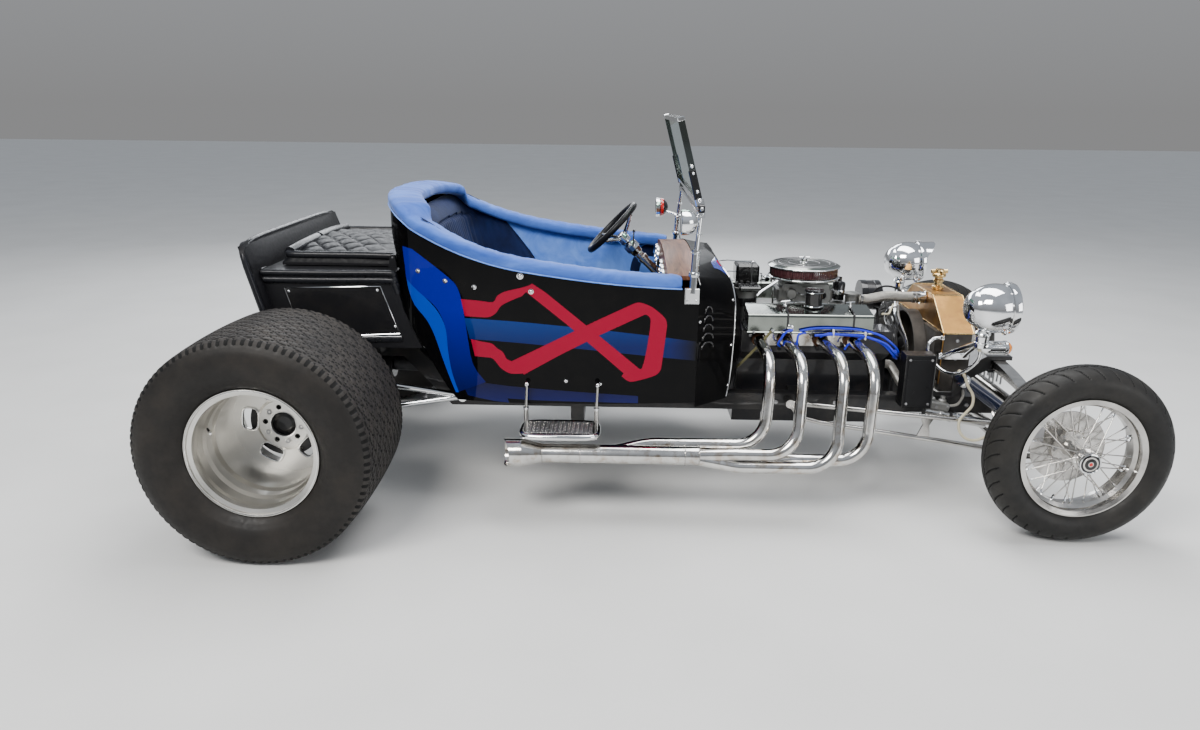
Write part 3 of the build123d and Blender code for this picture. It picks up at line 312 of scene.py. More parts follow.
# ------------------------------------------------------------------ photo rays and mesh builder (millimetres)
CAM = np.array((-176.9, -3467.4, 1398.7))
RR = np.array((0.99968758, 0.02322373, 0.00924072))
DD = np.array((0.01543894, -0.283, -0.95899564))
WW = np.array((-0.01965633, 0.9588387, -0.28327014))


def ray(u, v):
    return WW + RR * ((u - 600) / 877.56) + DD * ((v - 365) / 877.56)


def at(u, v, x=None, y=None, z=None):
    """Point seen at photo position u, v on a plane of known x, y or z."""
    d = ray(u, v)
    k = 0 if x is not None else 1 if y is not None else 2
    w = x if x is not None else y if y is not None else z
    return CAM + d * ((w - CAM[k]) / d[k])


def tree(*names):
    vs, fs = [], []
    for n in names:
        me, k = NODES[n].data, len(vs)
        vs += [v.co.copy() for v in me.vertices]
        fs += [[k + i for i in p.vertices] for p in me.polygons]
    return bvhtree.BVHTree.FromPolygons(vs, fs)


def seen(u, v, t, lift=0.6):
    """Surface point under a photo position, lifted off along its normal."""
    d = Vector(ray(u, v)).normalized()
    loc, nor, _, _ = t.ray_cast(Vector(CAM) * 0.001, d)
    if loc is None:
        return None, None
    if nor.dot(d) > 0:
        nor = -nor
    return np.array(loc) * 1000 + np.array(nor) * lift, np.array(nor)


def curve(P, fine, closed=False):
    """Points of a smooth line through P."""
    P = np.asarray(P, float)
    n = len(P)
    out = []
    for i in range(n if closed else n - 1):
        if closed:
            a, b, c, d = P[(i - 1) % n], P[i], P[(i + 1) % n], P[(i + 2) % n]
        else:
            a, b, c, d = P[max(i - 1, 0)], P[i], P[i + 1], P[min(i + 2, n - 1)]
        for k in range(fine):
            t = k / fine
            out.append(0.5 * ((2 * b) + (c - a) * t + (2 * a - 5 * b + 4 * c - d) * t * t + (3 * b - a - 3 * c + d) * t ** 3))
    if not closed:
        out.append(P[-1])
    return np.array(out)


def unit(v):
    v = np.asarray(v, float)
    return v / np.linalg.norm(v)


def frame_of(axis):
    w = unit(axis)
    u = unit(np.cross(w, (0, 0, 1) if abs(w[2]) < 0.9 else (1, 0, 0)))
    return u, np.cross(w, u), w


class Build:
    """Collects many small shapes into one mesh with several materials."""

    def __init__(self, name):
        self.name, self.v, self.f, self.i, self.mats = name, [], [], [], []

    def add(self, verts, faces, m):
        if m not in self.mats:
            self.mats.append(m)
        i, k = self.mats.index(m), len(self.v)
        self.v += [(p[0] * 0.001, p[1] * 0.001, p[2] * 0.001) for p in verts]
        for f in faces:
            self.f.append([k + q for q in f])
            self.i.append(i)

    def tube(self, pts, r, m, n=10, closed=False, fine=0, r2=None, flat=1.0):
        P = np.asarray(pts, float)
        if fine:
            P = curve(P, fine, closed)
        N = len(P)
        T = np.zeros_like(P)
        if closed:
            T = np.roll(P, -1, 0) - np.roll(P, 1, 0)
        else:
            T[1:-1] = P[2:] - P[:-2]
            T[0], T[-1] = P[1] - P[0], P[-1] - P[-2]
        T /= np.linalg.norm(T, axis=1)[:, None]
        U = frame_of(T[0])[0]
        vs = []
        for k in range(N):
            U = unit(U - T[k] * (U @ T[k]))
            V = np.cross(T[k], U)
            rr = r if r2 is None else r + (r2 - r) * k / (N - 1)
            for a in range(n):
                t = 2 * math.pi * a / n
                vs.append(P[k] + rr * (math.cos(t) * U + flat * math.sin(t) * V))
        fs = []
        for k in range(N if closed else N - 1):
            for a in range(n):
                b, j = (a + 1) % n, (k + 1) % N
                fs.append((k * n + a, k * n + b, j * n + b, j * n + a))
        if not closed:
            fs.append(tuple(reversed(range(n))))
            fs.append(tuple(range((N - 1) * n, N * n)))
        self.add(vs, fs, m)

    def lathe(self, prof, c, axis, m, n=32, ring=False):
        """prof: (radius, distance along the axis); ring closes the section."""
        u, v, w = frame_of(axis)
        c = np.asarray(c, float)
        vs, rows = [], []
        for r, h in prof:
            if r < 1e-6:
                rows.append([len(vs)] * n)
                vs.append(c + w * h)
            else:
                rows.append(list(range(len(vs), len(vs) + n)))
                for a in range(n):
                    t = 2 * math.pi * a / n
                    vs.append(c + w * h + r * (math.cos(t) * u + math.sin(t) * v))
        fs = []
        pairs = list(zip(rows, rows[1:])) + ([(rows[-1], rows[0])] if ring else [])
        for p, q in pairs:
            for a in range(n):
                b = (a + 1) % n
                f = []
                for x in (p[a], p[b], q[b], q[a]):
                    if x not in f:
                        f.append(x)
                if len(f) > 2:
                    fs.append(tuple(f))
        self.add(vs, fs, m)

    def ringt(self, c, axis, R, r, m, n=40, k=10):
        self.lathe([(R + r * math.cos(2 * math.pi * i / k), r * math.sin(2 * math.pi * i / k)) for i in range(k)], c, axis, m, n, True)

    def dome(self, c, axis, r, h, m, n=12):
        self.lathe([(r * 1.05, -1.0), (r, 0.15 * h), (r * 0.8, h * 0.65), (r * 0.45, h * 0.92), (0, h)], c, axis, m, n)

    def hexb(self, c, axis, r, h, m):
        self.lathe([(r * 1.25, 0), (r * 1.25, 0.18 * h)], c, axis, m, 16)
        self.lathe([(r, 0), (r, h * 0.85), (r * 0.8, h), (0, h)], c, axis, m, 6)

    def rbox(self, c, size, b, m, ax=None):
        """Box with bevelled edges; ax gives its three directions."""
        ax = [unit(a) for a in (ax or ((1, 0, 0), (0, 1, 0), (0, 0, 1)))]
        c, h = np.asarray(c, float), np.asarray(size, float) / 2
        vs, idx = [], {}
        for sx in (-1, 1):
            for sy in (-1, 1):
                for sz in (-1, 1):
                    s = (sx, sy, sz)
                    for k in range(3):
                        d = [(h[j] - (0 if j == k else b)) * s[j] for j in range(3)]
                        idx[s, k] = len(vs)
                        vs.append(c + d[0] * ax[0] + d[1] * ax[1] + d[2] * ax[2])
        fs = []
        for k in range(3):
            i, j = (k + 1) % 3, (k + 2) % 3
            for s in (-1, 1):
                q = []
                for a, d in ((-1, -1), (1, -1), (1, 1), (-1, 1)):
                    t = [0, 0, 0]
                    t[k], t[i], t[j] = s, a, d
                    q.append(idx[tuple(t), k])
                fs.append(tuple(q if s > 0 else reversed(q)))
            for a in (-1, 1):
                for d in (-1, 1):
                    t0, t1 = [0, 0, 0], [0, 0, 0]
                    t0[k], t0[i], t0[j] = -1, a, d
                    t1[k], t1[i], t1[j] = 1, a, d
                    q = (idx[tuple(t0), i], idx[tuple(t1), i], idx[tuple(t1), j], idx[tuple(t0), j])
                    fs.append(q if a * d > 0 else tuple(reversed(q)))
        for sx in (-1, 1):
            for sy in (-1, 1):
                for sz in (-1, 1):
                    q = tuple(idx[(sx, sy, sz), k] for k in range(3))
                    fs.append(q if sx * sy * sz > 0 else tuple(reversed(q)))
        self.add(vs, fs, m)

    def grid(self, rows, m, wrap=False):
        """Quads over rows of points; a None point leaves its quads out."""
        idx, vs = {}, []
        for a, row in enumerate(rows):
            for b, p in enumerate(row):
                if p is not None:
                    idx[a, b] = len(vs)
                    vs.append(p)
        fs = []
        nb = len(rows[0])
        for a in range(len(rows) - 1):
            for b in range(nb if wrap else nb - 1):
                c = (b + 1) % nb
                q = [(a, b), (a, c), (a + 1, c), (a + 1, b)]
                if all(k in idx for k in q):
                    fs.append(tuple(idx[k] for k in q))
        self.add(vs, fs, m)

    def mirror(self, start=0, faces=0):
        """Repeats everything after the marks on the other side."""
        k, vs = len(self.v) - start, [(x, -y, z) for x, y, z in self.v[start:]]
        fs = [([(q + k) for q in reversed(f)], i) for f, i in zip(self.f[faces:], self.i[faces:])]
        self.v += vs
        for f, i in fs:
            self.f.append(f)
            self.i.append(i)

    def done(self, body, angle=38, replaces=(), recalc=False):
        me = bpy.data.meshes.new(self.name)
        me.from_pydata(self.v, [], self.f)
        for mm in self.mats:
            me.materials.append(mm)
        me.polygons.foreach_set("material_index", self.i)
        me.polygons.foreach_set("use_smooth", [True] * len(me.polygons))
        me.validate()
        if recalc:
            import bmesh
            bm = bmesh.new()
            bm.from_mesh(me)
            bmesh.ops.recalc_face_normals(bm, faces=bm.faces)
            bm.to_mesh(me)
            bm.free()
        me.set_sharp_from_angle(angle=math.radians(angle))
        me.update()
        o = bpy.data.objects.new(self.name, me)
        bpy.context.scene.collection.objects.link(o)
        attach(o, body)
        if replaces:
            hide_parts(*replaces)
        return o


NEAR = tree("body_tub", "cowl")

# ------------------------------------------------------------------ tyres
REAR_X, REAR_Z, REAR_Y = -1285.5, 372.0, 812.0
FRONT_X, FRONT_Z, FRONT_Y = 1351.0, 306.5, 722.0


def arc3(a, b, c, n):
    """Points of the arc from a through b to c, in two dimensions."""
    a, b, c = (np.asarray(q, float) for q in (a, b, c))
    m = np.array([[b[0] - a[0], b[1] - a[1]], [c[0] - a[0], c[1] - a[1]]]) * 2
    o = np.linalg.solve(m, [(b @ b) - (a @ a), (c @ c) - (a @ a)])
    r = np.linalg.norm(a - o)
    t0, t1, t2 = (math.atan2(*(q - o)[::-1]) for q in (a, b, c))
    while t1 - t0 > math.pi: t1 -= 2 * math.pi
    while t1 - t0 < -math.pi: t1 += 2 * math.pi
    while t2 - t1 > math.pi: t2 -= 2 * math.pi
    while t2 - t1 < -math.pi: t2 += 2 * math.pi
    return [o + r * np.array((math.cos(t), math.sin(t))) for t in np.linspace(t0, t2, n)]


def zig(t):
    return abs((t % 1.0) * 2 - 1) * 2 - 1


def tyre_mesh(name, body, cx, cz, cy, s, prof, inner, n, depth, tread_m, side_m, edge):
    """prof: (offset across, radius) from bead to bead over the tread; depth(angle, offset, radius) sinks it."""
    b = Build(name)
    rows_t, rows_a, rows_b = [], [], []
    full = []
    for off, r in prof:
        row = []
        for k in range(n):
            t = 2 * math.pi * k / n
            rr = r - depth(t, off, r)
            row.append((cx + rr * math.cos(t), (cy + off) * s, cz + rr * math.sin(t)))
        full.append(row)
    for off, r in inner:
        full.append([(cx + r * math.cos(2 * math.pi * k / n), (cy + off) * s, cz + r * math.sin(2 * math.pi * k / n)) for k in range(n)])
    full.append(full[0])
    i0 = next(i for i, (o, r) in enumerate(prof) if r >= edge)
    i1 = max(i for i, (o, r) in enumerate(prof) if r >= edge)
    b.grid(full[:i0 + 1], side_m, wrap=True)
    f0 = len(b.f)
    b.grid(full[i0:i1 + 1], tread_m, wrap=True)
    # faces sunk more than 1.8 mm take the near-black rubber: painted shade in the tread grooves
    b.mats.append(GROOVE_PAINTED_SHADE)
    for a in range(i1 - i0):
        off, r = (prof[i0 + a][0] + prof[i0 + a + 1][0]) / 2, (prof[i0 + a][1] + prof[i0 + a + 1][1]) / 2
        for k in range(n):
            if depth(2 * math.pi * (k + 0.5) / n, off, r) > 1.8:
                b.i[f0 + a * n + k] = len(b.mats) - 1
    b.grid(full[i1:], side_m, wrap=True)
    return b.done(body, 50, (name.replace("_looks", ""),), recalc=True)


HALF = [(188.5, 207), (194, 209), (198, 211)]
HALF += [tuple(p) for p in arc3((198, 211), (236, 285), (221, 352), 26)[1:]]
HALF += [tuple(p) for p in arc3((221, 352), (213, 362), (200, 365.5), 5)[1:]]
REAR_PROF = HALF + [tuple(p) for p in arc3((200, 365.5), (0, 372), (-200, 365.5), 78)[1:-1]] + [(-a, r) for a, r in reversed(HALF)]
REAR_IN = [(-188, 192), (188, 192)]


def rear_depth(t, off, r):
    if r > 365.2:
        turn, row = t / (2 * math.pi) * 46, (off + 200) / 19.0
        best = 0.0
        for k in (math.floor(row), math.floor(row) + 1):
            line = k + 0.3 * zig(turn + (0.5 if k % 2 else 0.0))
            best = max(best, 1 - abs(row - line) / 0.17)
        return 5.0 * min(1.0, max(best, 0.0) * 1.6)
    if r > 349:
        return 3.2 if math.sin(t * 92) > 0.1 else 0.0
    for rib in (338.0, 332.0, 268.0, 232.0):
        if abs(r - rib) < 2.6:
            return -1.2
    return 0.0


FRONT_PROF = [(45, 204), (48, 206), (50, 208)]
FRONT_PROF += [tuple(p) for p in arc3((50, 208), (70, 246), (58, 280), 16)[1:]]
FRONT_PROF += [tuple(p) for p in arc3((58, 280), (0, 306.5), (-58, 280), 49)[1:]]
FRONT_PROF += [tuple(p) for p in arc3((-58, 280), (-70, 246), (-50, 208), 16)[1:]]
FRONT_PROF += [(-48, 206), (-45, 204)]
FRONT_IN = [(-45.3, 192), (45.3, 192)]


def front_depth(t, off, r):
    if r < 276:
        return -0.8 if abs(r - 226) < 2 or abs(r - 262) < 1.6 else 0.0
    d = 0.0
    turn = t / (2 * math.pi)
    if abs(abs(off) - 10 - 2.2 * zig(turn * 60)) < 1.9:
        d = 4.0
    if abs(off) > 15:
        # sweeping shoulder grooves, curving back towards the sidewall
        f = (turn * 36 + 0.9 * ((abs(off) - 15) / 43) ** 0.6 + (0.5 if off > 0 else 0)) % 1.0
        if f < 0.11:
            d = max(d, 3.4)
    return d


for side, s in (("right", -1), ("left", 1)):
    tyre_mesh("rear_tyre_" + side + "_looks", "wheel_rear_" + side, REAR_X, REAR_Z, REAR_Y, s, REAR_PROF, REAR_IN, 368, rear_depth,
              TYRE, TYRE_SIDE, 349.5)
    tyre_mesh("front_tyre_" + side + "_looks", "wheel_front_" + side, FRONT_X, FRONT_Z, FRONT_Y, s, FRONT_PROF, FRONT_IN, 540,
              front_depth, TYRE_F, TYRE_F, 276)

# ------------------------------------------------------------------ wheels: lips round the windows, nipples, hub caps
for side, s in (("right", -1), ("left", 1)):
    b = Build("rear_wheel_fittings_" + side)
    for k in range(5):
        a = math.radians(28 + 72 * k)
        ca, sa = math.cos(a), math.sin(a)
        pts = []
        for i in range(28):
            t = 2 * math.pi * i / 28
            # rounded window outline, radial by tangential
            pr, pt = 27.5 * np.sign(math.cos(t)) * abs(math.cos(t)) ** 0.6, 39 * np.sign(math.sin(t)) * abs(math.sin(t)) ** 0.6
            rr = 112 + pr
            pts.append((REAR_X + rr * ca - pt * sa, 740.5 * s, REAR_Z + rr * sa + pt * ca))
        b.tube(pts, 3.4, POLISHED, 8, closed=True)
        a2 = a + math.radians(36)
        b.ringt((REAR_X + 60.3 * math.cos(a2), 744.2 * s, REAR_Z + 60.3 * math.sin(a2)), (0, s, 0), 9.5, 1.4, RIM_METAL, 20, 8)
        b.lathe([(8.6, 0.0), (8.2, 0.4), (0, -0.6)], (REAR_X + 60.3 * math.cos(a2), 744.2 * s, REAR_Z + 60.3 * math.sin(a2)), (0, s, 0),
                SATIN, 20)
    b.ringt((REAR_X, 744.3 * s, REAR_Z), (0, s, 0), 43.5, 2.0, POLISHED, 48, 8)
    b.ringt((REAR_X, 1013 * s, REAR_Z), (0, s, 0), 203.5, 2.0, POLISHED, 96, 8)
    b.tube([(REAR_X - 165, 930 * s, REAR_Z + 50), (REAR_X - 150, 950 * s, REAR_Z + 46)], 3.6, RUBBER, 10)
    b.lathe([(4.5, 0), (4.5, 9), (3.5, 11), (0, 11)], (REAR_X - 150, 950 * s, REAR_Z + 46), (15, 20 * s, -4), CHROME, 12)
    b.done("wheel_rear_" + side)

    b = Build("front_wheel_fittings_" + side)
    for row, (side_k, first) in enumerate(((1, 0.0), (-1, 9.0))):
        for k in range(20):
            lean = 1 if k % 2 else -1
            a0 = math.radians(360 * k / 20 + (0 if side_k > 0 else 9))
            a1 = a0 + lean * math.radians(38 if side_k > 0 else 30)
            y1 = (FRONT_Y + side_k * 6 + lean * 2.2) * s
            q = np.array((FRONT_X + 176 * math.cos(a1), y1, FRONT_Z + 176 * math.sin(a1)))
            r_hub, y_hub = (31, 771) if side_k > 0 else (53, 671.5)
            y0 = (y_hub + 6.2 * (lean if side_k > 0 else -lean)) * s
            p = np.array((FRONT_X + r_hub * math.cos(a0), y0, FRONT_Z + r_hub * math.sin(a0)))
            w = unit(p - q)
            b.lathe([(4.2, -2), (4.2, 2), (3.0, 4), (2.7, 15), (2.0, 17)], q, w, CHROME, 8)
            b.dome(p + w * 0.5, (0, 0, 0) + w, 3.1, 3.0, CHROME, 8)
    # hub cap: black dished centre in a bright ring, coloured eye
    c = (FRONT_X, 806 * s, FRONT_Z)
    b.lathe([(26, -14), (33, -12), (35.5, -3), (36, 4), (34.5, 8), (31.5, 9), (30.0, 7)], c, (0, s, 0), CHROME, 40)
    b.lathe([(30.2, 7), (26, 8.6), (14, 10.2), (9, 11.2), (8.5, 9.2), (0, 9.2)], c, (0, s, 0), GLOSS_PLASTIC, 40)
    b.lathe([(7.6, 9.3), (6, 11.4), (0, 12.0)], c, (0, s, 0), RED_LENS, 20)
    for k in range(6):
        t = math.radians(60 * k)
        b.dome((FRONT_X + 47 * math.cos(t), 675.5 * s, FRONT_Z + 47 * math.sin(t)), (0, s, 0), 5, 5, SATIN, 8)
        for j in range(3):
            tt = t + math.radians(14 * j)
            r = 78 + 14 * j
            b.lathe([(3.4, 0.2), (2.4, -0.4), (0, -0.5)], (FRONT_X + r * math.cos(tt), 659.2 * s, FRONT_Z + r * math.sin(tt)), (0, s, 0), CAST, 10)
    b.tube([(FRONT_X - 60, FRONT_Y * s, FRONT_Z - 169), (FRONT_X - 52, FRONT_Y * s, FRONT_Z - 148)], 3.0, RUBBER, 8)
    b.done("wheel_front_" + side)

# ------------------------------------------------------------------ painted stripes on the body, laid on its surface
def strip(b, A, B, m, n=40, k=5, lift=0.6, fine=8, t=None):
    """Band between two photo outlines, cast onto the body."""
    A, B = curve([(u, v, 0) for u, v in A], fine), curve([(u, v, 0) for u, v in B], fine)

    def even(P):
        d = np.r_[0, np.cumsum(np.linalg.norm(np.diff(P, axis=0), axis=1))]
        s = np.linspace(0, d[-1], n)
        return np.c_[np.interp(s, d, P[:, 0]), np.interp(s, d, P[:, 1])]
    A, B = even(A), even(B)
    rows = []
    for j in range(k):
        w = j / (k - 1)
        rows.append([seen(*(A[i] * (1 - w) + B[i] * w), t or NEAR, lift)[0] for i in range(n)])
    b.grid(rows, m)


b = Build("body_stripes")
# blue band behind the ribbon, fading towards the cowl
strip(b, [(464, 318), (508, 321), (552, 325), (610, 331), (669, 338), (700, 342)],
      [(470, 339), (520, 343), (590, 350), (667, 358), (700, 361)], BAND, 90, 7, 0.5, 2)
# rear quarter swath and the navy band low on the side
strip(b, [(402.5, 246), (405, 266), (409, 284), (430, 301), (440, 313.5), (446, 330), (448, 350), (452, 372), (458, 392)],
      [(412, 249), (433, 265), (449, 278), (457, 287), (462, 303), (467, 333), (473, 364), (486, 382)], ROYAL, 60, 16, 0.5, 3)
strip(b, [(407, 279), (409, 290), (415, 305), (427, 320), (435, 336), (442, 356), (449, 375), (456, 392)],
      [(411, 284), (418, 291), (430, 302), (440, 315), (446, 330), (448, 350), (452, 372), (459, 392)], AZURE, 60, 6, 0.8, 3)
strip(b, [(459, 376), (486, 383), (530, 388), (580, 392), (638, 396)],
      [(468, 395), (495, 401), (530, 404), (580, 405), (638, 405.5)], NAVY_PAINT, 70, 5, 0.4, 2)
# crimson ribbon: two crossing bands, loop and tails
strip(b, [(523, 289.5), (570, 327), (625, 374.5)], [(532, 283.5), (545, 292), (600, 336.5), (640, 369.3)], CRIMSON, 50, 5, 0.9, 1)
strip(b, [(512, 361), (560, 338), (600, 319), (634, 303.5)], [(524, 374.5), (560, 355), (600, 335), (646, 314)], CRIMSON, 50, 5, 1.0, 1)
strip(b, [(634, 303.5), (640, 302.5), (652, 307), (665, 318), (667, 326)], [(642, 316), (646, 314.5), (650, 318), (650.5, 322), (650, 328)], CRIMSON, 24, 5, 1.1, 3)
strip(b, [(667, 326), (664, 348), (661, 369)], [(650, 328), (647, 348), (643, 366)], CRIMSON, 24, 5, 1.1, 2)
strip(b, [(661, 369), (656, 375), (640, 380), (629, 381.5), (621.5, 376)], [(643, 364), (642, 368), (640, 369), (636, 367), (631, 363)], CRIMSON, 24, 5, 1.15, 3)
strip(b, [(461, 299), (478, 300.5), (493, 302), (497, 296), (505, 291.5), (520, 288), (534, 284)],
      [(465, 316), (478, 317), (489, 317), (496, 313), (501, 306), (510, 301), (522, 296)], CRIMSON, 50, 5, 1.1, 3)
strip(b, [(471, 339), (482, 341.5), (492, 343.5), (497, 348), (503, 352), (507, 359), (515, 362)],
      [(475, 356), (484, 357), (492, 358), (497, 363), (501, 368), (511, 373.5), (528, 373)], CRIMSON, 50, 5, 1.1, 3)
# painted scallop on the cowl's top
strip(b, [(711, 262), (716, 256), (722, 254), (727, 256)], [(714, 268), (720, 270), (728, 276), (732, 281)], COWL_BLUE, 20, 8, 0.6, 3)
strip(b, [(716, 261), (721, 260), (725, 265)], [(720, 266), (724, 268), (728, 275)], CRIMSON, 14, 4, 1.0, 3)
b.mirror()
b.done("chassis", 60)

# ------------------------------------------------------------------ body trim: screws, louvres, edge bead
b = Build("body_trim")
for u, v, r in ((418, 271, 6), (445, 281, 6), (474, 287, 6), (531, 291.5, 6.5), (520, 276, 8), (600, 384, 4), (566, 381, 4), (700, 322, 4)):
    p, n = seen(u, v, NEAR, 0.0)
    if p is not None:
        b.dome(p, n, r, 0.6 * r, CHROME, 14)
        b.lathe([(r * 1.45, 0), (r * 1.45, 1.0), (r, 1.3)], p, n, CHROME, 14)
# arched louvres, one above the other, on the cowl's side
for k in range(5):
    p, n = seen(708.5 - 0.4 * k, 311 + 8.8 * k, NEAR, 0.0)
    if p is not None and p[0] > 104:
        al = unit(np.cross(n, (0, 0, 1)))
        up = np.cross(al, n)
        up = up if up[2] > 0 else -up
        w = 19 + 3 * k
        b.tube([p + n * 1.5 + al * w * math.cos(t) + up * (24 * math.sin(t) - 9) for t in np.linspace(0.1, math.pi - 0.1, 9)], 3.6, GLOSS_PLASTIC, 10, fine=2)
# bright bead along the firewall's edge
bead = []
for u, v in ((728, 262), (733, 271), (734.6, 282), (734.9, 300), (734.6, 320), (733.4, 340), (731.4, 360), (729, 380), (727, 396)):
    q = None
    for k in range(14):
        q, n = seen(u - 0.8 * k, v, NEAR, 1.2)
        if q is not None:
            break
    if q is not None:
        bead.append(q)
if len(bead) > 3:
    b.tube(bead, 2.6, CHROME, 8, fine=4)
# clips on the cowl's edge
for u, v in ((733, 300), (731, 345), (727.5, 385)):
    p, n = seen(u, v, NEAR, 0.0)
    if p is not None:
        b.dome(p, n, 4.5, 4, CHROME, 10)
# windshield bracket screws
for e in (-1,):
    for x in (59, 90):
        b.dome((x, -529.2, 764), (0, -1, 0), 5, 4, CHROME, 12)
    b.rbox((74.5, -530.4, 779), (46, 2.4, 52), 1.0, CHROME)
    b.ringt((84, -507, 926), (-0.1, -0.1, 1), 14, 3, CHROME, 24, 8)
    b.lathe([(17, -9), (19, -6), (19, 6), (17, 9)], (79, -515.5, 852), (8, 15, 142), CHROME, 24)
    b.ringt((92, -498.5, 985), (12, 17, 121), 9, 2.6, CHROME, 20, 8)
    b.hexb((97, -489, 1054), (0, -1, 0), 8, 14, CHROME)
    b.rbox((97, -503, 1071), (22, 10, 26), 3, GLOSS_PLASTIC)
    b.hexb((97, -508, 1071), (0, -1, 0), 7, 9, CHROME)
    # brace rod from the post down to the body
    b.tube([(78, -517, 905), (92, -500, 850), (104, -486, 808)], 3.2, CHROME, 8)
b.mirror()
# two thin rods over the cowl, from the firewall's top to the engine
for pts, knob in ((((727, 260), (752, 262)), True), (((730, 271), (762, 273.5), (761, 283)), False)):
    P = [at(u, v, y=60 if knob else 110) for u, v in pts]
    if not knob:
        P.append(np.array((P[-1][0] - 2, P[-1][1] - 10, 742)))
    P = [np.array((185, P[0][1], P[0][2] - 6))] + P
    b.tube(P, 2.4, CHROME, 8)
    if knob:
        b.lathe([(0, 0), (4, 1), (5, 5), (4, 9), (0, 10)], P[-1], (1, 0, 0), CHROME, 10)
        b.tube([P[-1], P[-1] + np.array((4, -4, -120))], 2.0, SATIN, 6)
b.done("chassis")

# ------------------------------------------------------------------ padded rim
ARCS = [((-1035, 0), (-1018, -235), (-955, -405)), ((-955, -405), (-915, -458), (-850, -490)),
        ((-850, -490), (-640, -540), (-400, -548)), ((-400, -548), (-150, -541), (100, -512))]


def plan_line(n):
    """Body outline in plan from the rear middle to the right front."""
    pts = []
    for a, c, d in ARCS:
        pts += [tuple(q) for q in arc3(a, c, d, 60)][:-1]
    pts.append((100, -512))
    P = np.array(pts)
    d = np.r_[0, np.cumsum(np.linalg.norm(np.diff(P, axis=0), axis=1))]
    s = np.linspace(0, d[-1], n)
    return np.c_[np.interp(s, d, P[:, 0]), np.interp(s, d, P[:, 1])]


RIMS = [tuple(q) for q in arc3((-1080, 1052), (-960, 1030), (-895, 990), 20)][:-1] \
    + [tuple(q) for q in arc3((-895, 990), (-720, 912), (-520, 860), 30)][:-1] \
    + [tuple(q) for q in arc3((-520, 860), (-224, 820), (130, 796), 40)]
RIMS = np.array(sorted(RIMS))


def rim_height(x):
    return float(np.interp(x, RIMS[:, 0], RIMS[:, 1]))


P = plan_line(150)
P = P[P[:, 0] <= 44]
P = np.r_[P[::-1], (P * (1, -1))[1:]]      # right front, round the rear, left front
rows = []
T = np.gradient(P, axis=0)
T /= np.linalg.norm(T, axis=1)[:, None]
K = 26
for i, (x, y) in enumerate(P):
    inw = np.array((-T[i][1], T[i][0]))
    mid = np.array((-450.0, 0.0)) - (x, y)
    if inw @ mid < 0:
        inw = -inw
    ends = min(i, len(P) - 1 - i)
    puff = 1.0 if ends > 3 else (0.80, 0.92, 0.98, 1.0)[ends]
    row = []
    crease = 1.2 * math.sin(i * 0.9) + 0.8 * math.sin(i * 2.3 + 1)
    for k in range(K):
        t = 2 * math.pi * k / K
        c, s = math.cos(t), math.sin(t)
        e = 0.62
        cx, cz = np.sign(c) * abs(c) ** e, np.sign(s) * abs(s) ** e
        wide = min(1.0, max(0.0, (-x - 640) / 300)) ** 1.3
        off = 33.5 + 23 * wide + (40.5 + 23 * wide) * cx * puff
        hz = 21.5 + 25 * cz * puff + (crease * 0.8 if s > 0.2 else 0)
        if cx < 0 and s < 0:
            hz = max(hz, 1.0)
        q = (x, y) + inw * off
        row.append((q[0], q[1], rim_height(x) + hz + (0 if off < 20 else -3 * (off - 20) / 54)))
    rows.append(row)
b = Build("rim_pad_looks")
b.grid(rows, VELOUR, wrap=True)
for r, rev in ((rows[0], False), (rows[-1], True)):
    mid = np.mean(np.array(r), axis=0)
    ring2 = [tuple(mid + 0.6 * (np.array(q) - mid)) for q in r]
    b.grid([r, ring2, [tuple(mid)] * K], VELOUR, wrap=True)
# piping along the outer lower edge
pip = []
for i, (x, y) in enumerate(P):
    inw = np.array((-T[i][1], T[i][0]))
    if inw @ (np.array((-450.0, 0.0)) - (x, y)) < 0:
        inw = -inw
    q = (x, y) - inw * 5.5
    pip.append((q[0], q[1], rim_height(x) + 3.4))
# the piping takes the lighter velour copy: painted light
b.tube(pip, 2.6, VELOUR_SIDE_PAINTED_LIGHT, 6)
o = b.done("chassis", 60, ("rim_pad",), recalc=True)

# ------------------------------------------------------------------ seat back: arched, channelled centre inside a plain border
def plan_half(x):
    Q = plan_line(200)
    return float(np.interp(x, Q[:, 0], -Q[:, 1]))


FRONT_LINE = [(-772, 560), (-773, 600), (-790, 670), (-815, 762), (-842, 860), (-866, 948), (-880, 985), (-905, 1012), (-940, 1024)]
WING = [(540, -470), (600, -480), (640, -505), (700, -545), (763, -585), (838, -642), (917, -707), (985, -790), (1015, -845), (1030, -880)]
L = [(q[0], q[2]) for q in curve([(x, 0, z) for x, z in FRONT_LINE], 7)]
rows, lips = [], []
NH = 170
PY = plan_line(400)


def wall_y(x):
    return float(np.interp(x, PY[:, 0], -PY[:, 1])) - 42


